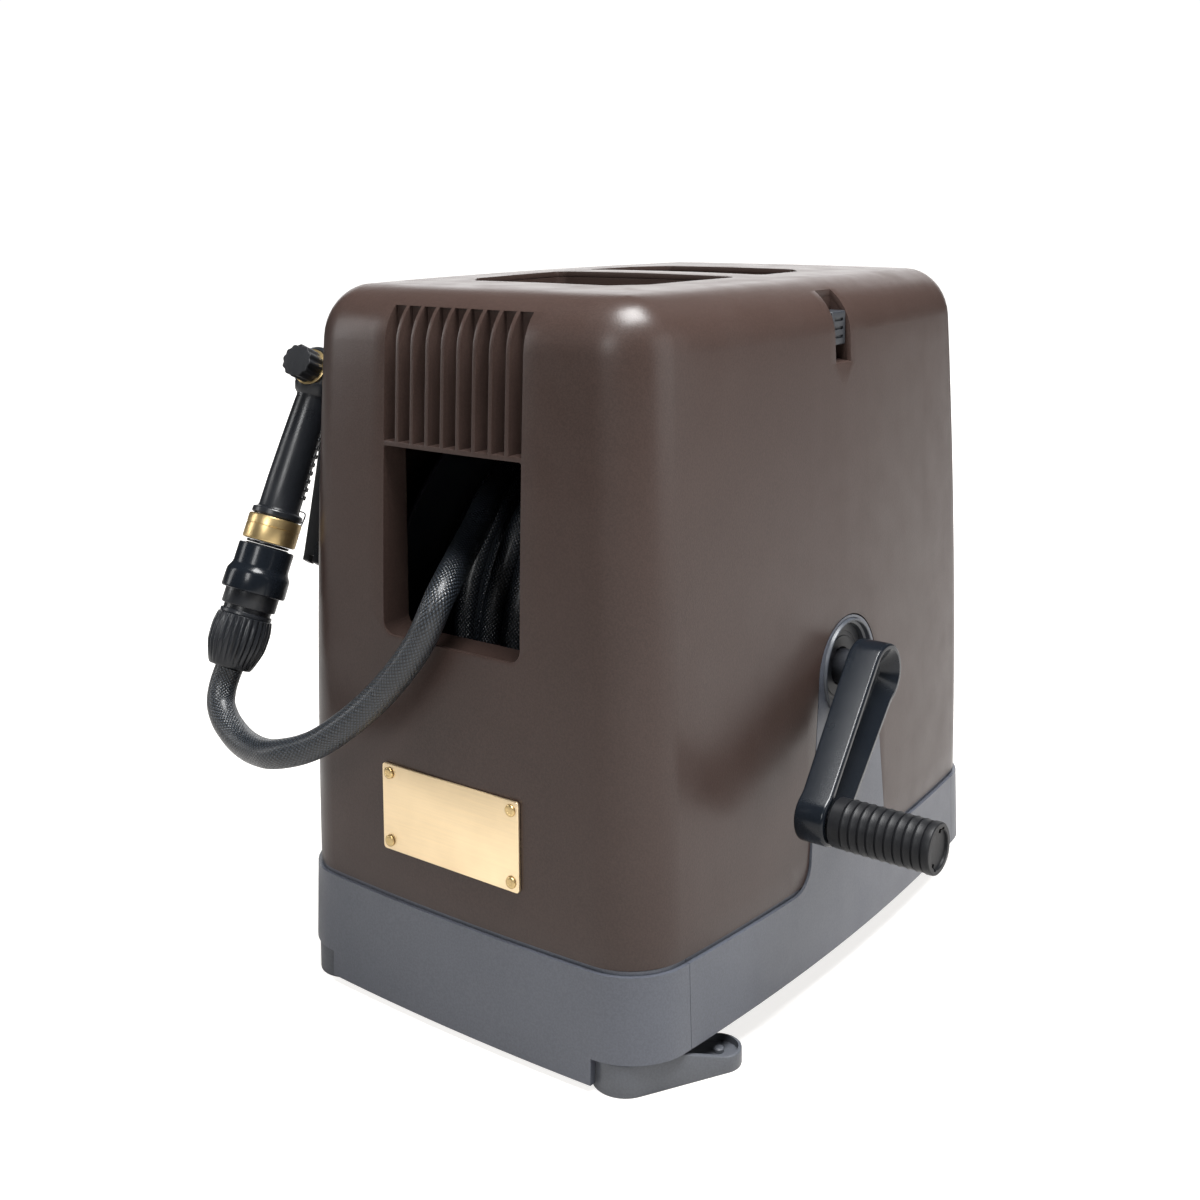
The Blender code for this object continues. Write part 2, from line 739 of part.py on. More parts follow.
window_hole = cutter("window_hole", moved(prism(window_shape, window_cut_depth),
                                          Matrix.Translation((0, front_y + jamb_depth, 0)) @ X_Z_PLANE), reel)
boolean(shell, window_hole)
sill_front_y = frame_front - bow_y - 0.0013
sill_back_y = frame_front + jamb_depth + wall + 0.001
sill_room_z = window_low_z + window_corner + wall
sill = cutter("sill_cut", moved(prism([(sill_front_y, window_low_z - sill_drop),
                                       (sill_back_y, window_low_z + 0.0002),
                                       (sill_back_y, sill_room_z),
                                       (sill_front_y, sill_room_z)],
                                      2 * (window_half_x - window_corner)), Y_Z_PLANE), reel)
boolean(shell, sill)
slots = []
for k in range(vent_count):
    middle = (k - (vent_count - 1) / 2) * vent_pitch
    slots.append(box((middle - (vent_pitch - vent_fin) / 2, front_y - reach, vent_low_z),
                     (middle + (vent_pitch - vent_fin) / 2, frame_front + vent_depth + reach, vent_high_z)))
vents = cutter("vent_slots", joined(slots), reel)
boolean(shell, vents)
bell_cut = cutter("bell_cut", moved(prism(bell_outline(0.0), 2 * bay_outer_x), Y_Z_PLANE), reel)
boolean(shell, bell_cut)

# Carrying holes in the top and the well below them
rear_opening = rounded([(-carry_half_x, carry_bar_half_y), (carry_half_x, carry_bar_half_y),
                        (carry_half_x - carry_lean, carry_rear_y - carry_taper),
                        (carry_half_x - carry_taper, carry_rear_y),
                        (-carry_half_x + carry_taper, carry_rear_y),
                        (-carry_half_x + carry_lean, carry_rear_y - carry_taper)], carry_corner, 3)
front_opening = rounded([(-carry_half_x, -carry_bar_half_y),
                         (-carry_half_x + carry_lean, carry_front_y + carry_taper),
                         (-carry_half_x + carry_taper, carry_front_y),
                         (carry_half_x - carry_taper, carry_front_y),
                         (carry_half_x - carry_lean, carry_front_y + carry_taper),
                         (carry_half_x, -carry_bar_half_y)], carry_corner, 3)
opening_depth = 2 * (carry_well_depth + reach)
openings = cutter("carry_openings", joined([prism(rear_opening, opening_depth),
                                            prism(front_opening, opening_depth)]),
                  reel, Matrix.Translation((0, 0, cover_top_z + reach)))
boolean(shell, openings)
well_outline = rounded([(-carry_half_x - carry_well_wall, carry_front_y - carry_well_wall),
                        (carry_half_x + carry_well_wall, carry_front_y - carry_well_wall),
                        (carry_half_x + carry_well_wall, carry_rear_y + carry_well_wall),
                        (-carry_half_x - carry_well_wall, carry_rear_y + carry_well_wall)], well_corner, 3)
well_top_z = cover_top_z + crown
well_low_z = carry_well_floor_z - carry_well_wall
well = add("carry_well", moved(prism(well_outline, well_top_z - well_low_z), Matrix.Translation(
    (0, 0, (well_top_z + well_low_z) / 2))), "cover_brown", reel)
boolean(well, cover_solid("well_bound", wall + gap), "INTERSECT")
boolean(well, openings)
tunnel_half_x = carry_half_x - tunnel_end_room
tunnel_half_y = carry_bar_half_y + tunnel_reach
tunnel = cutter("carry_tunnel", box((-tunnel_half_x, -tunnel_half_y, carry_well_floor_z),
                                    (tunnel_half_x, tunnel_half_y, cover_top_z - carry_bar_drop)), reel)
boolean(well, tunnel)

# Latches in a recess on each side, near the top
for side, hand in ((1, "right"), (-1, "left")):
    mirror = Matrix.Rotation(0 if side > 0 else math.pi, 4, "Z")
    recess = cutter("latch_recess_" + hand, moved(box(
        (recess_floor_x, -recess_half_y, recess_low_z), (base_half_x + reach, recess_half_y, recess_high_z)),
        mirror), reel)
    boolean(shell, recess)
    housing = add("latch_housing_" + hand, moved(box(
        (recess_floor_x - housing_wall, -recess_half_y - housing_wall, recess_low_z - housing_wall),
        (base_half_x + reach, recess_half_y + housing_wall, recess_high_z + housing_wall)), mirror),
        "cover_brown", reel)
    boolean(housing, cover_solid("housing_bound_" + hand, wall + gap), "INTERSECT")
    boolean(housing, recess)
    grooves = []
    for k in range(latch_grooves):
        middle = latch_low_z + (latch_high_z - latch_low_z) * (k + 1) / (latch_grooves + 1)
        grooves.append(box((latch_face_x - 0.0012, -latch_half_y + 0.0012, middle - 0.0009),
                           (latch_face_x + 0.01, latch_half_y - 0.0012, middle + 0.0009)))
    slider = add("latch_" + hand, moved(box((latch_back_x, -latch_half_y, latch_low_z),
                                            (latch_face_x, latch_half_y, latch_high_z)), mirror),
                 "latch_grey", reel)
    bevelled(slider, 0.0008)
    boolean(slider, cutter("latch_grooves_" + hand, moved(joined(grooves), mirror), reel))

# Nameplate and its rivets
plate_front_y = -(cover_half(plate_z, 0)[1] + bow_y + plate_proud)
plate_low_z, plate_high_z = plate_z - plate_height / 2, plate_z + plate_height / 2
plate_shape = rounded([(-plate_width / 2, plate_low_z), (plate_width / 2, plate_low_z),
                       (plate_width / 2, plate_high_z), (-plate_width / 2, plate_high_z)], plate_corner)
plate = add("nameplate", moved(prism(plate_shape, plate_depth), Matrix.Translation(
    (0, plate_front_y + plate_depth / 2, 0)) @ X_Z_PLANE), "plate_brass", reel)
boolean(plate, cover_solid("plate_seat", -gap))
for k, (x, z) in enumerate(((-1, 1), (1, 1), (-1, -1), (1, -1))):
    spot = (x * (plate_width / 2 - rivet_inset), plate_front_y - gap,
            plate_z + z * (plate_height / 2 - rivet_inset))
    add(f"plate_rivet_{k + 1}", rod(rivet_radius, 0, rivet_height, 12, rivet_top_radius), "satin_brass", reel,
        Matrix.Translation(spot) @ X_Z_PLANE)

# Drum: axle, barrel and two flanges
drum = empty("drum_axis", Matrix.Translation((0, 0, axle_z)), reel)
axle_high_x = arm_hub_x + arm_hub_depth - arm_recess - gap
axle_low_x = -(hub_face_x - hub_recess - 0.002)
add("drum_axle", rod(axle_radius, axle_low_x, axle_high_x, 24), "hub_grey", drum, ALONG_X)
between_half = drum_half_x - gap
add("drum_barrel", turned([(barrel_radius - barrel_wall, between_half), (barrel_radius, between_half),
                           (barrel_radius, -between_half), (barrel_radius - barrel_wall, -between_half)],
                          32, True), "drum_black", drum, ALONG_X)
for side, hand in ((1, "right"), (-1, "left")):
    turn = ALONG_X if side > 0 else Matrix.Rotation(-math.pi / 2, 4, "Y")
    profile = [(axle_radius + gap, drum_half_x + flange_wall),
               (flange_radius - flange_wall / 4, drum_half_x + flange_wall),
               (flange_radius, drum_half_x + flange_wall * 3 / 4),
               (flange_radius, drum_half_x), (axle_radius + hub_sleeve_wall, drum_half_x),
               (axle_radius + hub_sleeve_wall, drum_half_x - hub_sleeve),
               (axle_radius + gap, drum_half_x - hub_sleeve)]
    add("drum_flange_" + hand, turned(profile, 32, True), "drum_black", drum, turn)
add("hose_inner_layers", turned([(barrel_radius + gap, between_half), (inner_layers_radius, between_half),
                                 (inner_layers_radius, -between_half), (barrel_radius + gap, -between_half)],
                                40, True), "hose_black", drum, ALONG_X)


def drum_point(angle, radius, x):
    """A point beside the drum: the angle is measured above the front, over the top to the back."""
    return Vector((x, -radius * math.cos(angle), radius * math.sin(angle)))


def winding():
    """Centre line of the outer layer, with a straight end where it leaves the drum."""
    radius = (inner_layers_radius + gap + hose_radius) / math.cos(math.pi / loop_points)
    last = leave_angle
    first = first_angle + math.tau * outer_turns
    count = int(round((first - last) / (math.tau / loop_points)))
    points = []
    for k in range(count + 1):
        angle = first + (last - first) * k / count
        x = winding_start_x - turn_pitch * (first - angle) / math.tau
        points.append(drum_point(angle, radius, x))
    tangent_in = (points[0] - points[1]).normalized()
    away = Vector((0, -math.sin(leave_angle), -math.cos(leave_angle)))
    end = points[-1] + away * leave_length
    return [points[0] + tangent_in * 2 * hose_radius] + points + [end], away


wound_points, away = winding()
add("hose_wound", tube(wound_points, hose_radius, 1), "hose_black", drum)


def least_gap(points, radius, skip):
    """Least space between one tube and itself, leaving out its next neighbours."""
    least = 1.0
    for i, here in enumerate(points):
        for other in points[i + skip:]:
            least = min(least, (other - here).length - 2 * radius)
    return least


print("least gap of the wound hose to itself, mm:",
      round(least_gap(wound_points, hose_radius, loop_points // 2) * 1000, 2))


# Crank arm: a rounded bar that leans out from the hub to the grip, hollowed on its outer face
def arm_block(shrink, low_hub, high_hub, low_tip, high_tip, name):
    """Solid between two round ends, whose faces lean outwards from the hub to the tip."""
    outline = []
    hub, tip = arm_hub_radius - shrink, arm_tip_radius - shrink
    lean = math.asin((arm_hub_radius - arm_tip_radius) / crank_radius)
    for k in range(13):
        turn = math.pi / 2 - lean + (math.pi + 2 * lean) * k / 12
        outline.append((hub * math.cos(turn), hub * math.sin(turn)))
    for k in range(9):
        turn = -math.pi / 2 + lean + (math.pi - 2 * lean) * k / 8
        outline.append((crank_radius + tip * math.cos(turn), tip * math.sin(turn)))
    mesh = prism(outline, 1.0, name)
    bm = bmesh.new()
    bm.from_mesh(mesh)
    for share in (lean_start, 1 - lean_start):
        everything = list(bm.verts) + list(bm.edges) + list(bm.faces)
        bmesh.ops.bisect_plane(bm, geom=everything, dist=0.00001, plane_co=(crank_radius * share, 0, 0),
                               plane_no=(1, 0, 0))
    for vert in bm.verts:
        share = min(max((vert.co.x / crank_radius - lean_start) / (1 - 2 * lean_start), 0.0), 1.0)
        low = low_hub + (low_tip - low_hub) * share
        high = high_hub + (high_tip - high_hub) * share
        vert.co.z = high if vert.co.z > 0 else low
    bm.to_mesh(mesh)
    bm.free()
    return mesh


# The arm's own X runs from the hub to the grip, and its Z along the axle
arm_place = Matrix(((0, 0, 1, 0), (-math.cos(crank_drop), math.sin(crank_drop), 0, 0),
                    (-math.sin(crank_drop), -math.cos(crank_drop), 0, 0), (0, 0, 0, 1)))
hub_face = arm_hub_x + arm_hub_depth
tip_face = arm_tip_x + arm_tip_depth
arm = add("crank_arm", arm_block(0, arm_hub_x, hub_face, arm_tip_x, tip_face, "crank_arm"), "gloss_black",
          drum, arm_place)
channel = cutter("arm_channel", arm_block(arm_wall, hub_face - arm_recess, hub_face + reach,
                                          tip_face - arm_recess, tip_face + reach, "arm_channel"), drum,
                 arm_place)
boolean(arm, channel)
seat_place = arm_place @ Matrix.Rotation(math.radians(4), 4, "Z")
axle_seat = cutter("axle_seat", rod(axle_radius + gap, arm_hub_x - reach, hub_face - arm_recess / 2, 24),
                   drum, seat_place)
boolean(arm, axle_seat)
spindle_low = arm_tip_x + 0.002
spindle_high = grip_start_x + grip_length - grip_cap_wall - 0.002
tip_place = arm_place @ Matrix.Translation((crank_radius, 0, 0))
spindle_seat = cutter("spindle_seat", rod(spindle_radius + gap, spindle_low - gap, spindle_high, 16), drum,
                      tip_place)
boolean(arm, spindle_seat)
add("crank_spindle", rod(spindle_radius, spindle_low, spindle_high, 16), "steel", drum, tip_place)

# Crank grip: it turns on its spindle, with ring grooves and a recessed end
grip_end_x = grip_start_x + grip_length
profile = [(0, grip_end_x - grip_cap_recess), (grip_radius - 0.0035, grip_end_x - grip_cap_recess),
           (grip_radius - 0.003, grip_end_x), (grip_radius - 0.0008, grip_end_x),
           (grip_radius, grip_end_x - 0.0010)]
groove_pitch = (grip_length - 0.007) / grip_grooves
for k in range(grip_grooves):
    top = grip_end_x - 0.0035 - groove_pitch * k
    profile += [(grip_radius, top), (grip_radius - groove_depth, top - groove_width / 2),
                (grip_radius, top - groove_width)]
profile += [(grip_radius - 0.0003, grip_start_x + 0.0008), (grip_radius - 0.0012, grip_start_x),
            (spindle_radius + bearing_gap, grip_start_x),
            (spindle_radius + bearing_gap, spindle_high + 0.0004), (0, spindle_high + 0.0004)]
grip_axis = empty("grip_axis", tip_place, drum)
add("crank_grip", turned(profile, 16), "grip_grey", grip_axis)


# Folding feet at the front corners
def foot_outline(shrink):
    """Long outline from the pivot to the tip, along X."""
    outline = []
    big, small = foot_pivot_radius - shrink, foot_tip_radius - shrink
    lean = math.asin((foot_pivot_radius - foot_tip_radius) / foot_reach)
    for k in range(11):
        turn = math.pi / 2 - lean + (math.pi + 2 * lean) * k / 10
        outline.append((big * math.cos(turn), big * math.sin(turn)))
    for k in range(7):
        turn = -math.pi / 2 + lean + (math.pi - 2 * lean) * k / 6
        outline.append((foot_reach + small * math.cos(turn), small * math.sin(turn)))
    return outline


def foot_block(shrink, low, drop, name):
    """A foot whose top slopes down beyond the housing's edge."""
    mesh = prism(foot_outline(shrink), 1.0, name)
    bm = bmesh.new()
    bm.from_mesh(mesh)
    for share in (foot_slope_start, 0.7):
        everything = list(bm.verts) + list(bm.edges) + list(bm.faces)
        bmesh.ops.bisect_plane(bm, geom=everything, dist=0.00001, plane_co=(foot_reach * share, 0, 0),
                               plane_no=(1, 0, 0))
    for vert in bm.verts:
        share = (vert.co.x / foot_reach - foot_slope_start) / (1 - foot_slope_start)
        share = min(max(share, 0.0), 1.0)
        top = foot_height + (foot_tip_height - foot_height) * share
        vert.co.z = top - drop if vert.co.z > 0 else low
    bm.to_mesh(mesh)
    bm.free()
    return mesh


for side, hand in ((1, "right"), (-1, "left")):
    heading = foot_angle if side > 0 else math.pi - foot_angle
    place = Matrix.Translation((side * foot_pivot[0], foot_pivot[1], 0)) @ Matrix.Rotation(heading, 4, "Z")
    pivot = empty("foot_pivot_" + hand, place, reel)
    foot = add("front_foot_" + hand, foot_block(0, 0, 0, "front_foot_" + hand), "base_grey", pivot)
    hollow = cutter("foot_hollow_" + hand, foot_block(foot_rim, foot_hollow_floor, -reach, "foot_hollow"),
                    pivot)
    keep = cutter("hollow_keep_" + hand, box(
        (foot_reach * foot_slope_start, -foot_pivot_radius, 0),
        (foot_reach + reach, foot_pivot_radius, foot_height + reach)), pivot)
    boolean(hollow, keep, "INTERSECT")
    boolean(foot, hollow)
    peg = cutter("foot_peg_" + hand, rod(foot_peg_radius, foot_hollow_floor / 2,
                                         foot_tip_height - foot_peg_drop, 12), pivot,
                 Matrix.Translation((foot_reach, 0, 0)))
    boolean(foot, peg, "UNION")
    bore = cutter("pin_bore_" + hand, rod(foot_pin_radius + bearing_gap, -reach, foot_height + reach, 16),
                  pivot)
    boolean(foot, bore)
    head_high_z = foot_pin_low_z + foot_pin_head_height
    seat = cutter("pin_seat_" + hand, rod(foot_pin_head + bearing_gap, -reach, head_high_z + gap, 16), pivot)
    boolean(foot, seat)
    pin_high_z = side_skirt_z + wall + foot_pin_top
    pin_place = Matrix.Translation((side * foot_pivot[0], foot_pivot[1], 0))
    add("foot_pin_" + hand, turned([(0, pin_high_z), (foot_pin_radius, pin_high_z),
                                    (foot_pin_radius, head_high_z), (foot_pin_head, head_high_z),
                                    (foot_pin_head, foot_pin_low_z), (0, foot_pin_low_z)], 16), "steel", reel,
        pin_place)
    through = cutter("tray_pin_hole_" + hand, rod(foot_pin_radius + gap, 0, pin_high_z + reach, 16), reel,
                     pin_place)
    boolean(tray, through)

# Rear feet with rubber pads
for side, hand in ((1, "right"), (-1, "left")):
    place = Matrix.Translation((side * rear_foot_middle[0], rear_foot_middle[1], 0))
    rear = add("rear_foot_" + hand, rod(rear_foot_radius, rear_pad_height + gap, side_skirt_z - gap, 20),
               "base_grey", reel, place)
    bevelled(rear, 0.0015)
    pad = add("foot_pad_" + hand, rod(rear_foot_radius - 0.002, 0, rear_pad_height, 20), "pad_rubber", reel,
              place)
    bevelled(pad, 0.0008, 1)

# Water inlet on the left hub, leading into the hollow axle
inlet_start = -(hub_face_x - hub_recess + gap)
inlet_boss_end_x = inlet_start - inlet_boss_length
boss = add("inlet_elbow", rod(inlet_boss_radius, inlet_boss_end_x, inlet_start, 20), "drum_black", reel,
           Matrix.Translation((0, 0, axle_z)) @ ALONG_X)
bevelled(boss, 0.0015)
nipple_x = (inlet_start + inlet_boss_end_x) / 2 - 0.002
nipple_place = Matrix.Translation((nipple_x, 0, axle_z)) @ Matrix.Rotation(math.pi + inlet_lean, 4, "X")
nipple_start = inlet_boss_radius - 0.0025
nipple_neck, nipple_bulge = inlet_nipple_radius - 0.0015, inlet_nipple_radius + 0.0012
profile = [(0, inlet_nipple_length), (nipple_neck, inlet_nipple_length),
           (inlet_nipple_radius, inlet_nipple_length - 0.003),
           (inlet_nipple_radius, inlet_nipple_length - 0.006),
           (nipple_neck, inlet_nipple_length - 0.0065), (nipple_neck, inlet_nipple_length - 0.0095),
           (nipple_bulge, inlet_nipple_length - 0.0115), (nipple_bulge, nipple_start + 0.004),
           (inlet_nipple_radius + 0.003, nipple_start + 0.002),
           (inlet_nipple_radius + 0.003, nipple_start), (0, nipple_start)]
nipple = add("inlet_nipple", turned(profile, 20), "gun_black", reel, nipple_place)
boss_room = cutter("boss_room", rod(
    inlet_boss_radius + gap, inlet_boss_end_x - reach, inlet_start + reach, 20), reel,
    Matrix.Translation((0, 0, axle_z)) @ ALONG_X)
boolean(nipple, boss_room)
nipple_bore = inlet_nipple_radius - 0.0035
bore = cutter("nipple_bore", rod(nipple_bore, inlet_nipple_length - 0.012, inlet_nipple_length + reach, 12),
              reel, nipple_place)
boolean(nipple, bore)

# Spray gun
gun_z = -gun_down
gun_y = (gun_spray - gun_spray.dot(gun_z) * gun_z).normalized()
gun_x = gun_y.cross(gun_z)
gun_matrix = Matrix.Translation(gun_top) @ Matrix((gun_x, gun_y, gun_z)).transposed().to_4x4()
gun = empty("gun", gun_matrix, reel)
FORWARD = Matrix.Translation((0, 0, head_z)) @ Matrix.Rotation(-math.pi / 2, 4, "X")
knob_back = knob_face_y + knob_depth
ring_seat = knob_back + knob_ring_depth + 2 * gap
body = add("gun_body", turned([(0, head_front_y), (head_radius, head_front_y),
                               (head_radius, ring_seat + 0.0029), (head_radius - 0.002, ring_seat),
                               (0, ring_seat)], 24), "gun_black", gun, FORWARD)
collar = cutter("gun_collar", turned([(0, head_z), (grip_top_radius - 0.003, head_z),
                                      (grip_top_radius, gun_collar_top),
                                      (gun_handle_radius + 0.0005, gun_collar_end), (0, gun_collar_end)], 24),
                gun)
boolean(body, collar, "UNION")
knob_room = cutter("knob_room", rod(knob_ring_radius + gap, knob_face_y - reach, ring_seat, 20), gun, FORWARD)
boolean(body, knob_room)
flange_start = gun_handle_end + 0.001
add("gun_handle", turned([(0, gun_collar_end - gap), (gun_handle_radius, gun_collar_end - gap),
                          (gun_handle_radius + 0.0006, (gun_collar_end + gun_handle_end) / 2),
                          (gun_handle_radius, flange_start), (gun_flange_radius, gun_handle_end),
                          (gun_flange_radius, gun_handle_end - gun_flange),
                          (0, gun_handle_end - gun_flange)], 24), "gun_black", gun)
rose_seat = nose_front_y - rose_wall - gap
rim_bore = nose_radius - 0.002
add("gun_nose", turned([(0, rose_seat), (rim_bore, rose_seat), (rim_bore, nose_front_y),
                        (nose_radius, nose_front_y), (nose_radius, nose_front_y - 0.006),
                        (head_radius + 0.001, head_front_y + gap), (0, head_front_y + gap)], 24),
    "gun_black", gun, FORWARD)
add("spray_rose", rod(rim_bore - gap, nose_front_y - rose_wall, nose_front_y - 0.001, 24), "satin_brass",
    gun, FORWARD)

# Flow knob with a scalloped rim, on its brass ring
knob_outline = []
for k in range(knob_lobes * 4):
    turn = math.tau * k / (knob_lobes * 4)
    rim = knob_radius - knob_wave + knob_wave * math.cos(knob_lobes * turn)
    knob_outline.append((rim * math.cos(turn), rim * math.sin(turn)))
knob_axis = empty("knob_axis", FORWARD, gun)
knob_middle = knob_face_y + knob_depth / 2
add("flow_knob", moved(prism(knob_outline, knob_depth), Matrix.Translation((0, 0, knob_middle))), "gun_black",
    knob_axis)
add("knob_ring", rod(knob_ring_radius, knob_back + gap, ring_seat - gap, 20), "satin_brass", gun, FORWARD)

# Brass ring with the stub that the connector pushes on
add("brass_ring", turned([(0, brass_top), (brass_radius - 0.0006, brass_top),
                          (brass_radius, brass_top - 0.001), (brass_radius - 0.0008, brass_end),
                          (0, brass_end)], 28), "satin_brass", gun)
add("gun_stub", rod(stub_radius, stub_end, brass_end - gap, 20), "gun_black", gun)

# Trigger on a pin under the head
trigger_axis = empty("trigger_axis", Matrix.Translation((0, trigger_pivot[0], trigger_pivot[1])), gun)
outer_side, inner_side = [], []
route = [Vector(p) - Vector(trigger_pivot) for p in trigger_route]
for k, here in enumerate(route):
    ahead = route[min(k + 1, len(route) - 1)] - route[max(k - 1, 0)]
    across = Vector((-ahead.y, ahead.x)).normalized() * (trigger_wall / 2)
    outer_side.append(tuple(here + across))
    inner_side.append(tuple(here - across))
trigger_end = route[-1]
flick = [(trigger_end.x + 0.006, trigger_end.y - 0.004), (trigger_end.x - 0.001, trigger_end.y - 0.0035)]
blade = prism(outer_side + flick + inner_side[::-1], trigger_width)
trigger = add("trigger", moved(blade, Y_Z_PLANE), "gun_black", trigger_axis)
eye_out = trigger_pin_radius + trigger_eye_wall
eye = cutter("trigger_eye", rod(eye_out, -trigger_width / 2, trigger_width / 2, 16), trigger_axis, ALONG_X)
boolean(trigger, eye, "UNION")
eye_hole = cutter("trigger_hole", rod(trigger_pin_radius + bearing_gap, -trigger_width, trigger_width, 12),
                  trigger_axis, ALONG_X)
boolean(trigger, eye_hole)
lug_half = trigger_width / 2 + bearing_gap
lug_y, lug_z = trigger_pivot
lug_outline = [(0.002, head_z), (lug_y + eye_out, head_z), (lug_y + eye_out, lug_z),
               (lug_y, lug_z - eye_out), (lug_y - eye_out, lug_z - 0.001),
               (0.006, gun_collar_end + 0.002)]
for side in (1, -1):
    lug = cutter("trigger_lug_" + ("right" if side > 0 else "left"), moved(
        prism(lug_outline, lug_wall),
        Matrix.Translation((side * (lug_half + lug_wall / 2), 0, 0)) @ Y_Z_PLANE), gun)
    boolean(body, lug, "UNION")
eye_room = cutter("eye_room", rod(eye_out + 2 * gap, -lug_half, lug_half, 16), trigger_axis, ALONG_X)
boolean(body, eye_room)
pin_room = cutter("pin_room", rod(trigger_pin_radius + gap, -trigger_width, trigger_width, 12), trigger_axis,
                  ALONG_X)
boolean(body, pin_room)
add("trigger_pin", rod(trigger_pin_radius, -lug_half - lug_wall, lug_half + lug_wall, 12), "steel", gun,
    Matrix.Translation((0, trigger_pivot[0], trigger_pivot[1])) @ ALONG_X)

# Trigger lock: a wire loop on a small catch, which swings out to hook the trigger
catch_y = brass_radius + catch_depth
catch = add("clip_catch", box((-catch_half_x, brass_radius - 0.002, catch_low_z),
                              (catch_half_x, catch_y, catch_high_z)), "satin_brass", gun)
ring_room = cutter("ring_room", rod(brass_radius + gap, brass_end - reach, brass_top + reach, 28), gun)
boolean(catch, ring_room)
clip_x = catch_half_x + wire_radius + gap
clip_axis = empty("clip_axis", Matrix.Translation((0, catch_y - 0.0015, clip_pivot_z)), gun)
wire = [(-clip_x, 0, 0), (-clip_x, 0.0015, clip_rise * 0.5), (-clip_x, 0.0030, clip_rise - 0.0015),
        (-clip_x + 0.0015, 0.0032, clip_rise), (clip_x - 0.0015, 0.0032, clip_rise),
        (clip_x, 0.0030, clip_rise - 0.0015), (clip_x, 0.0015, clip_rise * 0.5), (clip_x, 0, 0)]
add("wire_clip", tube(wire, wire_radius, 1), "steel", clip_axis)

# Holder on the cover's left side, with a saddle that carries the gun's head
head_point = gun_matrix @ Vector((0, 0, head_z))
saddle_share = (holder_y - head_point.y) / gun_y.y
saddle_point = head_point + gun_y * saddle_share
saddle_high_z = saddle_point.z - 0.002
holder_out_x = saddle_point.x - head_radius - 0.003
holder_root_x = holder_root - base_half_x
holder = add("gun_holder", box((holder_out_x, holder_y - holder_half_y, holder_low_z),
                               (holder_root_x, holder_y + holder_half_y, saddle_high_z)), "drum_black", reel)
flat = cutter("holder_plate", box(
    (-base_half_x - holder_plate_depth, holder_y - holder_plate_half_y, holder_plate_low_z),
    (holder_root_x, holder_y + holder_plate_half_y, holder_plate_high_z)), reel)
boolean(holder, flat, "UNION")
boolean(holder, cover_solid("holder_seat", -gap))
head_room = cutter("head_room", rod(head_radius + gap, knob_face_y - reach, nose_front_y + reach, 24), gun,
                   FORWARD)
boolean(holder, head_room)

# Quick connector and its nut, at the hose's free end
add("connector_body", turned([(0, connector_top), (collar_radius - collar_wall - gap - 0.0004, connector_top),
                              (collar_radius - collar_wall - gap - 0.0004, connector_ring_top),
                              (connector_ring_radius, connector_ring_top - 0.0006),
                              (connector_ring_radius, connector_end), (0, connector_end)], 24),
    "gun_black", gun)
collar_bore = collar_radius - collar_wall
skirt_bore = collar_skirt_radius - collar_wall
add("connector_collar", turned([(collar_bore, connector_top), (collar_radius - 0.0006, connector_top),
                                (collar_radius, connector_top - 0.0008),
                                (collar_radius, collar_skirt_top + 0.008),
                                (collar_skirt_radius, collar_skirt_top), (collar_skirt_radius, collar_end),
                                (skirt_bore, collar_end), (skirt_bore, collar_skirt_top - 0.001),
                                (collar_bore, collar_skirt_top + 0.004)], 24, True), "gloss_black", gun)
add("hose_nut", turned([(0, connector_end - gap), (nut_top_radius, connector_end - gap),
                        (nut_wide_radius, connector_end - 0.008),
                        (nut_wide_radius - 0.0005, connector_end - 0.018),
                        (nut_end_radius, nut_end), (0, nut_end)], 28), "gun_black", gun)


def smooth_route(points, count):
    """Evenly spaced points on a smooth curve through the given points."""
    fine = []
    for i in range(len(points) - 1):
        p0 = points[max(i - 1, 0)]
        p1, p2 = points[i], points[i + 1]
        p3 = points[min(i + 2, len(points) - 1)]
        for k in range(24):
            t = k / 24
            fine.append(0.5 * ((2 * p1) + (p2 - p0) * t + (2 * p0 - 5 * p1 + 4 * p2 - p3) * t ** 2
                               + (3 * p1 - p0 - 3 * p2 + p3) * t ** 3))
    fine.append(points[-1])
    steps = [(b - a).length for a, b in zip(fine, fine[1:])]
    total = sum(steps)
    out, travelled, want = [fine[0]], 0.0, total / (count - 1)
    for here, ahead, step in zip(fine, fine[1:], steps):
        while travelled + step >= want * len(out) and len(out) < count - 1:
            share = (want * len(out) - travelled) / step
            out.append(here.lerp(ahead, share))
        travelled += step
    return out + [fine[-1]], total


# Free hose end: straight out of the winding and straight into the nut
lead_start = wound_points[-1] + Vector((0, 0, axle_z)) + away * gap
nut_mouth = gun_matrix @ Vector((0, 0, nut_end - gap))
route = [lead_start, lead_start + away * 0.016] + [Vector(p) for p in lead_route]
route += [nut_mouth - gun_z * 0.014, nut_mouth]
lead, lead_length = smooth_route(route, lead_points)
lead_step = lead_length / (lead_points - 1)
lead[1] = lead_start + away * lead_step
lead[-2] = nut_mouth - gun_z * lead_step
add("hose_lead", tube(lead, hose_radius, 3), "hose_black", reel)
print("free hose end, m:", round(lead_length, 3))

wound_length = sum((b - a).length for a, b in zip(wound_points, wound_points[1:]))
print("outer layer, m:", round(wound_length, 3))
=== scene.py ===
from math import asin, atan2, copysign, cos, hypot, pi, radians, sin, tan, tau

import bmesh
import bpy
from mathutils import Matrix, Vector


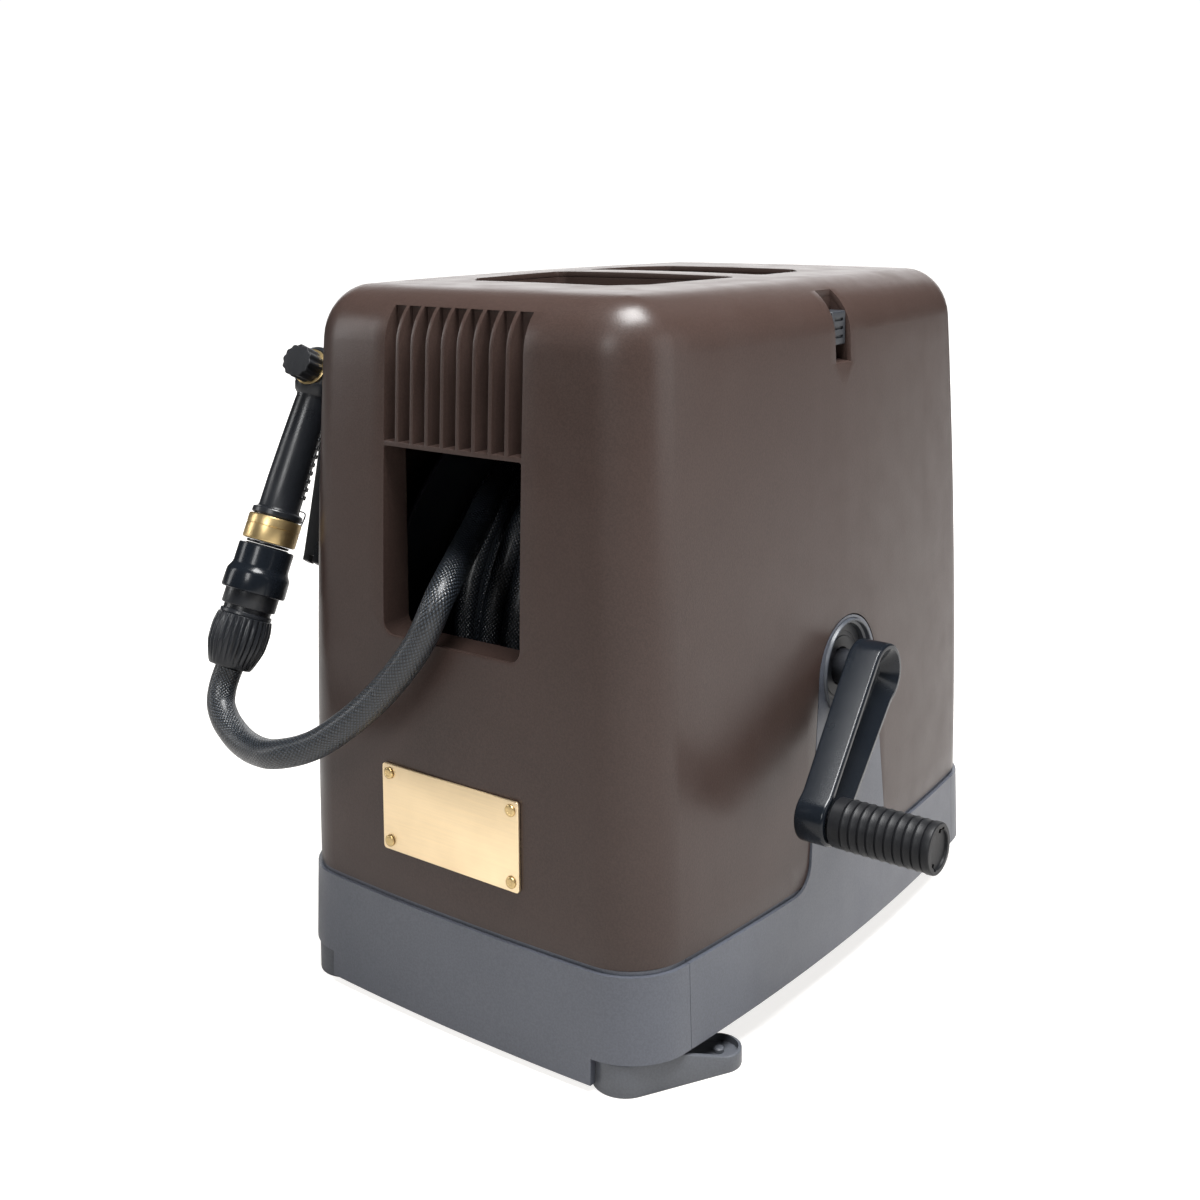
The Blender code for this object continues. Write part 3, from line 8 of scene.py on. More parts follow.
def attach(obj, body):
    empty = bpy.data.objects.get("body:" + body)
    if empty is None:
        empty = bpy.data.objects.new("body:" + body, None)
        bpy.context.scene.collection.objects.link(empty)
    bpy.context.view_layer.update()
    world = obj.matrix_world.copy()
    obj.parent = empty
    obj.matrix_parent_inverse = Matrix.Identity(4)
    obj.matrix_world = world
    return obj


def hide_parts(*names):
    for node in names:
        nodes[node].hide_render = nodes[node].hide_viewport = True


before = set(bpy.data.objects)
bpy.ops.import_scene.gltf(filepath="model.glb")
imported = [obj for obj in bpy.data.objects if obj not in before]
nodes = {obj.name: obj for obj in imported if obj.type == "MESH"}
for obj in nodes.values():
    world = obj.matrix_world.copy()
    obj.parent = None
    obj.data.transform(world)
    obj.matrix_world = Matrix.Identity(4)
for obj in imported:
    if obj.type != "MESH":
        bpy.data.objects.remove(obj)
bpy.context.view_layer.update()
Y_Z_PLANE = Matrix(((0, 0, 1, 0), (1, 0, 0, 0), (0, 1, 0, 0), (0, 0, 0, 1)))
X_Z_PLANE = Matrix.Rotation(pi / 2, 4, "X")

# The camera stands to the right of the front and a little above the top. It looks a few
# degrees down at the corner between the front and the crank side.
yaw, pitch, roll = (radians(turn) for turn in (37.262, 6.154, -0.359))
ahead = Vector((-sin(yaw) * cos(pitch), cos(yaw) * cos(pitch), -sin(pitch)))
level = Vector((cos(yaw), sin(yaw), 0))
upward = level.cross(ahead)
right_edge = level * cos(roll) + upward * sin(roll)
top_edge = upward * cos(roll) - level * sin(roll)
lens = bpy.data.cameras.new("camera")
lens.lens = 45.97
lens.sensor_width = 36
lens.shift_y = -0.20
camera = bpy.data.objects.new("camera", lens)
camera.matrix_world = Matrix.Translation((0.5059, -0.7563, 0.4436)) @ Matrix(
    (right_edge, top_edge, -ahead)).transposed().to_4x4()
bpy.context.scene.collection.objects.link(camera)
bpy.context.scene.camera = camera

# The studio: a white floor that runs out of sight, with a painted shadow round the reel and a painted glow
# that lights it, a white room round it and five soft lights, above, in front, behind and to each side.


def material(name):
    """A new material, its node tree, its shader and the place on the object."""
    made = bpy.data.materials.new(name)
    made.use_nodes = True
    tree = made.node_tree
    return made, tree, tree.nodes["Principled BSDF"], tree.nodes.new("ShaderNodeTexCoord").outputs["Object"]


def dial(node, settings):
    """Sets values on a node's own sockets."""
    for socket, value in settings.items():
        node.inputs[socket].default_value = value


def calc(tree, operation, first, second=0.0, third=0.0):
    """One step of arithmetic in a material."""
    step = tree.nodes.new("ShaderNodeMath")
    step.operation = operation
    for socket, value in zip(step.inputs, (first, second, third)):
        if isinstance(value, (int, float)):
            socket.default_value = value
        else:
            tree.links.new(value, socket)
    return step.outputs[0]


def between(tree, share, low, high, out_low=0.0, out_high=1.0):
    """Stretches one range of values onto another."""
    step = tree.nodes.new("ShaderNodeMapRange")
    dial(step, {"From Min": low, "From Max": high, "To Min": out_low, "To Max": out_high})
    tree.links.new(share, step.inputs["Value"])
    return step.outputs["Result"]


bpy.context.scene.view_settings.view_transform = "Standard"
bpy.ops.object.select_all(action="DESELECT")
bpy.ops.mesh.primitive_plane_add(size=24, location=(0, 6, 0))
bpy.ops.object.transform_apply(location=True, rotation=True, scale=True)
floor = bpy.context.object
floor.name = "floor"
paper, tree, look, spot = material("floor_paper")
dial(look, {"Base Color": (0.42, 0.41, 0.40, 1), "Roughness": 0.9, "Specular IOR Level": 0.1,
            "Emission Color": (1, 0.985, 0.965, 1)})
far_off = tree.nodes.new("ShaderNodeVectorMath")
far_off.operation = "LENGTH"
sideways = tree.nodes.new("ShaderNodeSeparateXYZ")
tree.links.new(spot, far_off.inputs[0])
tree.links.new(spot, sideways.inputs[0])
# Painted light on the paper: seen from the camera it glows white far off and greyer near the reel, a painted
# shadow round it; to all other rays it glows as a painted fill light, stronger on its right side.
direct = tree.nodes.new("ShaderNodeLightPath").outputs["Is Camera Ray"]
seen_glow_painted_shade = calc(tree, "MULTIPLY", direct, between(tree, far_off.outputs["Value"], 0.45, 1.3, 0.78, 1.15))
# Painted fill light: the paper's glow for rays other than the camera's, which lights the reel from below and
# more from the right.
painted_fill_glow = calc(tree, "MULTIPLY", calc(tree, "SUBTRACT", 1.0, direct),
              between(tree, sideways.outputs["X"], -0.1, 0.6, 0.10, 0.84))
tree.links.new(calc(tree, "ADD", seen_glow_painted_shade, painted_fill_glow), look.inputs["Emission Strength"])
floor.data.materials.append(paper)

room = bpy.data.worlds.new("room")
room.use_nodes = True
room_light = room.node_tree.nodes["Background"]
dial(room_light, {"Color": (1, 1, 1, 1), "Strength": 0.05})
seen = room.node_tree.nodes.new("ShaderNodeBackground")
seen.inputs["Strength"].default_value = 1.3
which = room.node_tree.nodes.new("ShaderNodeMixShader")
path = room.node_tree.nodes.new("ShaderNodeLightPath")
room.node_tree.links.new(path.outputs["Is Camera Ray"], which.inputs["Fac"])
room.node_tree.links.new(room_light.outputs[0], which.inputs[1])
room.node_tree.links.new(seen.outputs[0], which.inputs[2])
room.node_tree.links.new(which.outputs[0], room.node_tree.nodes["World Output"].inputs["Surface"])
bpy.context.scene.world = room
for name, place, wide, high, power in (("overhead_light", (0.45, -0.2, 2.0), 1.0, 0.9, 112),
                                       ("front_light", (0.35, -2.0, 1.3), 0.45, 0.7, 17),
                                       ("back_light", (-1.6, 2.3, 1.0), 3.2, 1.5, 27),
                                       ("left_light", (-1.9, -1.3, 0.9), 0.5, 1.2, 12),
                                       ("right_light", (2.1, 0.5, 0.8), 1.6, 1.5, 18)):
    glow = bpy.data.lights.new(name, "AREA")
    glow.shape = "RECTANGLE"
    glow.size, glow.size_y, glow.energy = wide, high, power
    lamp = bpy.data.objects.new(name, glow)
    lamp.location = place
    lamp.rotation_euler = (Vector((0, 0, 0.2)) - Vector(place)).to_track_quat("-Z", "Y").to_euler()
    bpy.context.scene.collection.objects.link(lamp)

# The hose: 16 mm outside, black rubber with a braided reinforcement that shows through its skin, its crests
# painted paler as a painted glint and its gaps darker as painted shade. It is wound in layers on the drum,
# leaves over the front through the window, and its free end runs down and round to the nut below the spray
# gun.
home = Vector((-0.026036, 0.001256, 0))
axle_z = 0.1764
axle = home + Vector((0, 0, axle_z))
hose_radius = 0.008
braid_strands = 11
braid_rate = 200           # strands crossed per metre along the hose


def cloud(tree, place, scale, detail=2.0, stretch=None):
    """Soft random patches of a given size, drawn out along an axis where stretch says so."""
    if stretch:
        turn = tree.nodes.new("ShaderNodeMapping")
        turn.inputs["Scale"].default_value = stretch
        tree.links.new(place, turn.inputs["Vector"])
        place = turn.outputs["Vector"]
    step = tree.nodes.new("ShaderNodeTexNoise")
    dial(step, {"Scale": scale, "Detail": detail})
    tree.links.new(place, step.inputs["Vector"])
    return step.outputs["Fac"]


def blended(tree, share, first, second):
    """Goes from one colour to another by a share."""
    step = tree.nodes.new("ShaderNodeMix")
    step.data_type = "RGBA"
    tree.links.new(share, step.inputs["Factor"])
    for index, value in ((6, first), (7, second)):
        if isinstance(value, (tuple, list)):
            step.inputs[index].default_value = (*value, 1)
        else:
            tree.links.new(value, step.inputs[index])
    return step.outputs[2]


def raised(tree, height, distance, under=None):
    """Turns a height into relief on the surface."""
    step = tree.nodes.new("ShaderNodeBump")
    dial(step, {"Strength": 1.0, "Distance": distance})
    tree.links.new(height, step.inputs["Height"])
    if under:
        tree.links.new(under, step.inputs["Normal"])
    return step.outputs["Normal"]


def braided_rubber():
    """Black rubber over a braid: strands cross both ways, with fine threads along each."""
    made, tree, shader, where = material("braided_rubber")
    chart = tree.nodes.new("ShaderNodeUVMap")
    chart.uv_map = "length"
    parts = tree.nodes.new("ShaderNodeSeparateXYZ")
    tree.links.new(chart.outputs["UV"], parts.inputs["Vector"])
    around = calc(tree, "MULTIPLY", parts.outputs["X"], tau * braid_strands)
    along = calc(tree, "MULTIPLY", parts.outputs["Y"], tau * braid_rate)
    rising, falling = calc(tree, "ADD", around, along), calc(tree, "SUBTRACT", around, along)
    crossing = calc(tree, "MULTIPLY", calc(tree, "SINE", rising), calc(tree, "SINE", falling))
    over = calc(tree, "GREATER_THAN", crossing, 0.0)
    threads_up = calc(tree, "SINE", calc(tree, "MULTIPLY", rising, 3.0))
    threads_down = calc(tree, "SINE", calc(tree, "MULTIPLY", falling, 3.0))
    up = calc(tree, "MULTIPLY", over, threads_up)
    down = calc(tree, "MULTIPLY", calc(tree, "SUBTRACT", 1.0, over), threads_down)
    fine = calc(tree, "MULTIPLY", calc(tree, "ADD", up, down), 0.08)
    height = calc(tree, "ADD", calc(tree, "ABSOLUTE", crossing), fine)
    dust = cloud(tree, where, 55, 5)
    # The braid shows paler through the skin; its crests are painted paler and bluish as a painted glint, and
    # the gaps between strands near black as painted shade.
    braid_and_glint = calc(tree, "POWER", between(tree, height, 0.25, 0.95), 1.5)
    strand_and_glint, gap_and_shade = (0.034, 0.043, 0.056), (0.002, 0.0025, 0.003)
    tree.links.new(blended(tree, braid_and_glint, gap_and_shade, strand_and_glint), shader.inputs["Base Color"])
    dial(shader, {"Specular IOR Level": 0.35, "Coat Weight": 0.35, "Coat Roughness": 0.30})
    tree.links.new(between(tree, dust, 0.3, 0.7, 0.24, 0.34), shader.inputs["Roughness"])
    tree.links.new(raised(tree, height, 0.0003, raised(tree, cloud(tree, where, 900), 0.00003)),
                   shader.inputs["Normal"])
    return made


rubber_hose = braided_rubber()


def fitted(piece, body, slot, finish, *solids):
    """Gives a piece its finish, lets it move with its body and hides the solids it stands for."""
    piece.data.materials.clear()
    piece.data.materials.append(finish)
    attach(piece, body)
    if solids:
        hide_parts(*solids)
    return piece


def hose_tube(name, line, radius=hose_radius, sides=20):
    """A round tube along close points. Its own chart has turns round it and metres along it."""
    shape = bmesh.new()
    chart = shape.loops.layers.uv.new("length")
    side = None
    rings, travelled = [], [0.0]
    for k, here in enumerate(line):
        run = (line[min(k + 1, len(line) - 1)] - line[max(k - 1, 0)]).normalized()
        if side is None:
            side = run.orthogonal().normalized()
        side = (side - side.dot(run) * run).normalized()
        other = run.cross(side)
        rings.append([shape.verts.new(here + radius * (side * cos(tau * j / sides)
                                                       + other * sin(tau * j / sides)))
                      for j in range(sides)])
        if k:
            travelled.append(travelled[-1] + (here - line[k - 1]).length)
    for k in range(len(rings) - 1):
        for j in range(sides):
            face = shape.faces.new((rings[k][j], rings[k][(j + 1) % sides], rings[k + 1][(j + 1) % sides],
                                    rings[k + 1][j]))
            face.smooth = True
            for loop, (u, v) in zip(face.loops, ((j, k), (j + 1, k), (j + 1, k + 1), (j, k + 1))):
                loop[chart].uv = (u / sides, travelled[v])
    for cap in (shape.faces.new(reversed(rings[0])), shape.faces.new(rings[-1])):
        for edge in cap.edges:
            edge.smooth = False
    mesh = bpy.data.meshes.new(name)
    shape.to_mesh(mesh)
    shape.free()
    piece = bpy.data.objects.new(name, mesh)
    bpy.context.scene.collection.objects.link(piece)
    return piece


layer_radius = 0.1248 / cos(pi / 24)     # centre line of the outer layer
turn_pitch = 0.0166
leave_angle = radians(70)
outer_turns = 8
first_angle = radians(-60) + tau * outer_turns
away = Vector((0, -sin(leave_angle), -cos(leave_angle)))


def wound_line(radius, from_angle, to_angle, from_x, pitch, steps):
    """Points of a winding on the drum. The angle runs from the front over the top to the back."""
    count = int(abs(to_angle - from_angle) / tau * steps)
    line = []
    for k in range(count + 1):
        turn = from_angle + (to_angle - from_angle) * k / count
        line.append(axle + Vector((from_x + pitch * (turn - from_angle) / tau,
                                   -radius * cos(turn), radius * sin(turn))))
    return line


outer = wound_line(layer_radius, first_angle, leave_angle, 0.0855, turn_pitch, 48)
eased_points, eased_by = 25, 0.0128      # the last points drift sideways, towards the window's middle
for k in range(eased_points):
    outer[-1 - k].x -= eased_by * (1 - k / (eased_points - 1)) ** 2
start_run = (outer[0] - outer[1]).normalized()
for name, radius, end_x, pitch in (("hose_inner_layer", 0.0935, -0.0860, 0.0166),
                                   ("hose_middle_layer", 0.1085, 0.0860, -0.0166)):
    start_angle, turns = 0.4, 10.3
    layer = hose_tube(name, wound_line(radius, start_angle, start_angle + tau * turns, end_x, pitch, 30),
                      sides=12)
    fitted(layer, "drum", "hose", rubber_hose, *(["hose_inner_layers"] if radius < 0.1 else []))


def smooth_line(points, steps):
    """A smooth line through the points, with as many short steps between each two."""
    line = []
    for k in range(len(points) - 1):
        before, here, there = points[max(k - 1, 0)], points[k], points[k + 1]
        after = points[min(k + 2, len(points) - 1)]
        for s in range(steps):
            t = s / steps
            line.append(0.5 * (2 * here + (there - before) * t
                               + (2 * before - 5 * here + 4 * there - after) * t * t
                               + (3 * here - before - 3 * there + after) * t ** 3))
    return line + [points[-1]]


def even_line(line, count):
    """The same line with evenly spaced points."""
    steps = [(b - a).length for a, b in zip(line, line[1:])]
    wanted, gone, out = sum(steps) / (count - 1), 0.0, [line[0]]
    for a, b, step in zip(line, line[1:], steps):
        while gone + step >= wanted * len(out) and len(out) < count - 1:
            out.append(a.lerp(b, (wanted * len(out) - gone) / step))
        gone += step
    return out + [line[-1]]


# The gun hangs with its handle along gun_up and sprays along gun_forward.
gun_up = -Vector((-0.045, -0.388, -0.921)).normalized()
gun_forward = Vector((-0.195, 0.907, -0.370))
gun_forward = (gun_forward - gun_forward.dot(gun_up) * gun_up).normalized()
gun_side = gun_forward.cross(gun_up)
gun_place = Matrix.Translation(home + Vector((-0.146, -0.137, 0.344))) @ Matrix(
    (gun_side, gun_forward, gun_up)).transposed().to_4x4()
nut_end = -0.182
nut_mouth = gun_place @ Vector((0, 0, nut_end - 0.0003))
straight_run = 0.0415
leaving = outer[-1] + away * straight_run
sill_point = home + Vector((-0.0018, -0.1919, 0.2400))
lead_route = [outer[-1], leaving, leaving.lerp(sill_point, 0.5), sill_point] + [home + Vector(p) for p in (
    (-0.0095, -0.2040, 0.2117), (-0.0355, -0.2105, 0.1800),
    (-0.0660, -0.2200, 0.1547), (-0.0900, -0.2270, 0.1450), (-0.1120, -0.2250, 0.1415),
    (-0.1320, -0.2215, 0.1440), (-0.1490, -0.2175, 0.1530))] + [nut_mouth - gun_up * 0.014, nut_mouth]
lead_line = smooth_line(lead_route, 24)
behind, free_length = 0, 0.328
while sum((b - a).length for a, b in zip(lead_line[behind:], lead_line[behind + 1:])) > free_length:
    behind += 1
winding = hose_tube("hose_outer_layer", [outer[0] + start_run * 0.016] + outer[:-1] + lead_line[:behind + 1:3]
                    + [lead_line[behind]])
fitted(winding, "drum", "hose", rubber_hose, "hose_wound")
lead_line = smooth_line(even_line(lead_line[behind:], 33), 4)
hose_end = hose_tube("hose_free_end", lead_line, sides=28)
fitted(hose_end, "cover", "hose", rubber_hose, "hose_lead")

# Moulded plastic is the finish of most pieces: fine pores, a slow drift of colour, uneven
# gloss with faint scuffs, and edges rubbed a little paler.


def moulded(name, colour, rough, pores=0.00005, pore_size=1100, drift=0.06, rubbed=0.20, scuffs=0.05,
            coat=0.0, shine=0.45):
    made, tree, shader, where = material(name)
    slow = cloud(tree, where, 14, 4)
    deep = tuple(c * (1 - drift) for c in colour)
    pale = tuple(c * (1 + drift) for c in colour)
    shade = blended(tree, between(tree, slow, 0.3, 0.7), deep, pale)
    speck = between(tree, cloud(tree, where, 900, 3), 0.38, 0.62)
    shade = blended(tree, calc(tree, "MULTIPLY", speck, 0.32), shade, tuple(c * 1.6 for c in colour))
    edge = between(tree, tree.nodes.new("ShaderNodeNewGeometry").outputs["Pointiness"], 0.515, 0.60)
    patchy = between(tree, cloud(tree, where, 160, 5), 0.40, 0.62)
    worn = calc(tree, "MULTIPLY", calc(tree, "MULTIPLY", edge, patchy), rubbed)
    shade = blended(tree, worn, shade, tuple(min(1.0, c * 1.9 + 0.02) for c in colour))
    tree.links.new(shade, shader.inputs["Base Color"])
    scuff = between(tree, cloud(tree, where, 30, 9, (1, 1, 0.06)), 0.52, 0.72)
    gloss = calc(tree, "ADD", between(tree, cloud(tree, where, 48, 5), 0.3, 0.7, rough - 0.04, rough + 0.04),
                 calc(tree, "MULTIPLY", scuff, scuffs))
    tree.links.new(calc(tree, "MAXIMUM", gloss, 0.05), shader.inputs["Roughness"])
    relief = raised(tree, cloud(tree, where, pore_size, 2), pores)
    tree.links.new(raised(tree, cloud(tree, where, 22, 2), 0.00006, relief), shader.inputs["Normal"])
    dial(shader, {"Specular IOR Level": shine})
    if coat:
        dial(shader, {"Coat Weight": coat, "Coat Roughness": 0.06})
    return made


def fresh():
    """Leaves edit mode with nothing chosen, so that the next tool acts on its own piece alone."""
    if bpy.context.object and bpy.context.object.mode != "OBJECT":
        bpy.ops.object.mode_set(mode="OBJECT")
    bpy.ops.object.select_all(action="DESELECT")


def chosen(piece):
    fresh()
    piece.select_set(True)
    bpy.context.view_layer.objects.active = piece


def applied(piece, kind, **settings):
    """Adds a modifier and applies it."""
    chosen(piece)
    step = piece.modifiers.new(kind.lower(), kind)
    for key, value in settings.items():
        setattr(step, key, value)
    bpy.ops.object.modifier_apply(modifier=step.name)


def placed(piece, place=Matrix(), edge=0.0, segments=3, angle=35):
    """Rounds a piece's edges, puts it in its place and shades it."""
    if edge:
        applied(piece, "BEVEL", width=edge, segments=segments, limit_method="ANGLE",
                angle_limit=radians(angle), miter_outer="MITER_ARC")
    chosen(piece)
    piece.matrix_world = Matrix.Translation(home) @ place @ piece.matrix_world
    bpy.ops.object.transform_apply(location=True, rotation=True, scale=True)
    bpy.ops.object.shade_smooth_by_angle(angle=radians(32))
    return piece


def cut(piece, tool, how="DIFFERENCE"):
    """Cuts one shape out of a piece, or joins it on, and puts the tool away."""
    applied(piece, "BOOLEAN", operation=how, solver="EXACT", object=tool)
    bpy.data.objects.remove(tool, do_unlink=True)


def bevelled(piece, width, segments=3, angle=50):
    """Rounds the edges that turn by more than the angle."""
    applied(piece, "BEVEL", width=width, segments=segments, limit_method="ANGLE",
            angle_limit=radians(angle))


def split(shape, at, normal):
    """Adds edges to a mesh where a plane crosses it."""
    bmesh.ops.bisect_plane(shape, geom=list(shape.verts) + list(shape.edges) + list(shape.faces),
                           dist=0.000001, plane_co=at, plane_no=normal)


def block(name, low, high, place=Matrix()):
    """A square block between two corners."""
    fresh()
    low, high = Vector(low), Vector(high)
    bpy.ops.mesh.primitive_cube_add(size=1, location=(low + high) / 2)
    piece = bpy.context.object
    piece.name = piece.data.name = name
    piece.scale = high - low
    bpy.ops.object.transform_apply(location=True, rotation=True, scale=True)
    piece.data.transform(place)
    return piece


def slab(name, outline, low, high, place=Matrix()):
    """A flat outline in XY, drawn out along Z from low to high."""
    fresh()
    bpy.ops.mesh.primitive_circle_add(vertices=len(outline), fill_type="NGON")
    piece = bpy.context.object
    piece.name = piece.data.name = name
    for corner, (x, y) in zip(piece.data.vertices, outline):
        corner.co = (x, y, low)
    bpy.ops.object.mode_set(mode="EDIT")
    bpy.ops.mesh.select_all(action="SELECT")
    bpy.ops.mesh.extrude_region_move(TRANSFORM_OT_translate={"value": (0, 0, high - low)})
    bpy.ops.mesh.select_all(action="SELECT")
    bpy.ops.mesh.normals_make_consistent(inside=False)
    bpy.ops.object.mode_set(mode="OBJECT")
    piece.data.transform(place)
    return piece


def turned(name, outline, sides=72, bored=False, place=Matrix()):
    """A round piece along Z: a ring is drawn out and resized from point to point of (radius, height)."""
    fresh()
    radius, height = outline[0]
    bpy.ops.mesh.primitive_circle_add(vertices=sides, radius=radius, location=(0, 0, height))
    piece = bpy.context.object
    piece.name = piece.data.name = name
    bpy.ops.object.mode_set(mode="EDIT")
    bpy.ops.mesh.select_all(action="SELECT")
    for wide, high in list(outline[1:]) + (list(outline[:1]) if bored else []):
        bpy.ops.mesh.extrude_edges_move(TRANSFORM_OT_translate={"value": (0, 0, high - height)})
        if wide != radius:
            bpy.ops.transform.resize(value=(wide / radius, wide / radius, 1), center_override=(0, 0, high))
        radius, height = wide, high
    bpy.ops.mesh.select_all(action="SELECT")
    bpy.ops.mesh.remove_doubles(threshold=0.000001)
    if not bored:
        bpy.ops.mesh.fill_holes(sides=0)
    bpy.ops.mesh.select_all(action="SELECT")
    bpy.ops.mesh.normals_make_consistent(inside=False)
    bpy.ops.object.mode_set(mode="OBJECT")
    bpy.ops.object.transform_apply(location=True, rotation=True, scale=True)
    piece.data.transform(place)
    return piece


def rounded(corners, radius, steps=8):
    """An outline with each corner turned into an arc."""
    out = []
    for k, corner in enumerate(corners):
        here = Vector(corner)
        before = (Vector(corners[k - 1]) - here).normalized()
        after = (Vector(corners[(k + 1) % len(corners)]) - here).normalized()
        half = before.angle(after) / 2
        size = radius[k] if isinstance(radius, (list, tuple)) else radius
        middle = here + (before + after).normalized() * (size / sin(half))
        start = here + before * (size / tan(half)) - middle
        sweep = start.angle_signed(here + after * (size / tan(half)) - middle)
        out += [tuple(middle + Matrix.Rotation(-sweep * s / steps, 2) @ start) for s in range(steps + 1)]
    return out


# The base: a blue-grey moulded tray whose walls lean in and bow out, with a skirt at the
# front and the back, a floor, and a lip inside its rim on which the cover stands.
base_half_x, base_half_y = 0.1233, 0.1885
bow_x, bow_y = 0.0118, 0.0047
corner_radius = 0.029
wall = 0.003
side_skirt_z, front_skirt_z, parting_z = 0.0179, 0.0039, 0.0626
cover_top_z = 0.395
crown = 0.002
base_plastic = moulded("base_plastic", (0.055, 0.060, 0.074), 0.38, rubbed=0)


def base_half(z, inset):
    lean = 0.0239 * (z - side_skirt_z) + inset
    return base_half_x - lean, base_half_y - lean


def cover_half(z, inset):
    low_x, low_y = base_half(parting_z, 0.0015 + inset)
    rise = z - parting_z
    return low_x - 0.0024 * rise - 0.067 * rise * rise, low_y + 0.0097 * rise - 0.099 * rise * rise


def housing(name, low, high, half_at, inset=0.0, round_top=False, crowned=0.0, step=0.016, open_low=False,
            open_high=False):
    """A block with round corners whose sides lean, bow and swell as the housing's do."""
    corner = corner_radius - inset
    piece = block(name, (-base_half_x, -base_half_y, low), (base_half_x, base_half_y, high))
    shape = bmesh.new()
    shape.from_mesh(piece.data)
    edges = [e for e in shape.edges if abs(e.verts[0].co.z - e.verts[1].co.z) > (high - low) / 2
             or (round_top and min(v.co.z for v in e.verts) > high - 0.0001)]
    bmesh.ops.bevel(shape, geom=edges, offset=corner, segments=10, profile=0.5, affect="EDGES")
    cuts = []
    for axis, first, last in ((0, corner - base_half_x, base_half_x - corner),
                              (1, corner - base_half_y, base_half_y - corner),
                              (2, low, high - corner if round_top else high)):
        count = max(1, round((last - first) / step))
        for k in range(1, count):
            at, normal = [0, 0, 0], [0, 0, 0]
            at[axis], normal[axis] = first + (last - first) * k / count, 1
            cuts.append((at, normal))
    for at, normal in cuts:
        split(shape, at, normal)
    doomed = [f for f in shape.faces if (open_low and max(v.co.z for v in f.verts) < low + 0.0001)
              or (open_high and min(v.co.z for v in f.verts) > high - 0.0001)]
    bmesh.ops.delete(shape, geom=doomed, context="FACES")
    for v in shape.verts:
        x, y, z = v.co
        share_x, share_y = x / base_half_x, y / base_half_y
        half_x, half_y = half_at(z, inset)
        v.co.x = share_x * (half_x + bow_x * (1 - share_y ** 2))
        v.co.y = share_y * (half_y + bow_y * (1 - share_x ** 2))
        rise = max(0.0, (z - (high - corner)) / corner)
        v.co.z += crowned * rise * (1 - share_x ** 2) * (1 - share_y ** 2)
    shape.to_mesh(piece.data)
    shape.free()
    return piece


def walled(piece, depth):
    applied(piece, "SOLIDIFY", thickness=depth, offset=-1.0, use_even_offset=True)
    return piece


def joined(name, pieces):
    """Several shapes made one."""
    fresh()
    for one in pieces:
        one.select_set(True)
    bpy.context.view_layer.objects.active = pieces[0]
    bpy.ops.object.join()
    pieces[0].name = name
    return pieces[0]


reach = 0.02
lip_low, lip_high = parting_z - 0.006, parting_z + 0.0022
panel_half_y = 0.1533
bay_inner_x = base_half_x - 0.0215
bay_outer_x = base_half_x + bow_x + reach
tray = walled(housing("base_tray_wall", side_skirt_z, parting_z, base_half, open_high=True), wall)
cut(tray, walled(housing("lip", lip_low, lip_high, base_half, 0.0022, open_low=True, open_high=True), 0.0024),
    "UNION")
skirt = walled(housing("skirt", front_skirt_z, side_skirt_z + wall, base_half, open_low=True, open_high=True),
               wall + 0.001)
cut(skirt, joined("skirt_keep", [
    block("skirt_front", (-0.092, -base_half_y - reach, front_skirt_z - reach),
          (0.092, -base_half_y + wall + bow_y, side_skirt_z + 0.002)),
    block("skirt_back", (-0.092, base_half_y - wall - bow_y, front_skirt_z - reach),
          (0.092, base_half_y + reach, side_skirt_z + 0.002))]), "INTERSECT")
cut(tray, skirt, "UNION")
cut(tray, joined("side_bays", [
    block("bay", (min(side * bay_inner_x, side * bay_outer_x), -panel_half_y - 0.0003, side_skirt_z - reach),
          (max(side * bay_inner_x, side * bay_outer_x), panel_half_y + 0.0003, parting_z + reach))
    for side in (1, -1)]))
foot_pivot = Vector((0.099, -0.171, 0))
for side in (1, -1):
    pin_hole = turned("pin_hole", ((0.0048, 0.0), (0.0048, 0.05)), 32)
    pin_hole.location = (side * foot_pivot.x, foot_pivot.y, 0.0)
    cut(tray, pin_hole)
fitted(placed(tray), "base", "base_plastic", base_plastic, "base_tray")

# The side panels: a strip of the base's wall with a bell on it that fills the cover's
# cut-out and carries the hub, one on each side, moulded like the tray.
hub_ring_radius = 0.028
bell_top_z = axle_z + hub_ring_radius + 0.0024


def bell(shrink):
    """The bell's outline in Y and Z, as wide as the cover's cut-out less the given amount."""
    shoulder, foot, flare = 0.0335, 0.0440, 0.060
    shoulder_z, foot_z = bell_top_z - shoulder, parting_z + 0.016
    half = [(flare, parting_z - 0.008), (flare, parting_z)]
    half += [(flare - (flare - foot) * sin(pi / 16 * k),
              foot_z - 0.016 * cos(pi / 16 * k)) for k in range(1, 9)]
    half += [(shoulder * cos(pi / 48 * k), shoulder_z + shoulder * sin(pi / 48 * k))
             for k in range(25)]
    half = [(max(y - shrink, 0.0), z - (shrink if z > shoulder_z else 0)) for y, z in half]
    return half + [(-y, z) for y, z in reversed(half[:-1])]


def bell_half(z, inset):
    """The bell stands flush with the base's wall below and with the cover's above."""
    if z < parting_z:
        return base_half(z, inset + 0.00003)
    proud = 0.0015 * max(0.0, 1 - (z - parting_z) / 0.08)
    return tuple(half + proud for half in cover_half(z, inset))


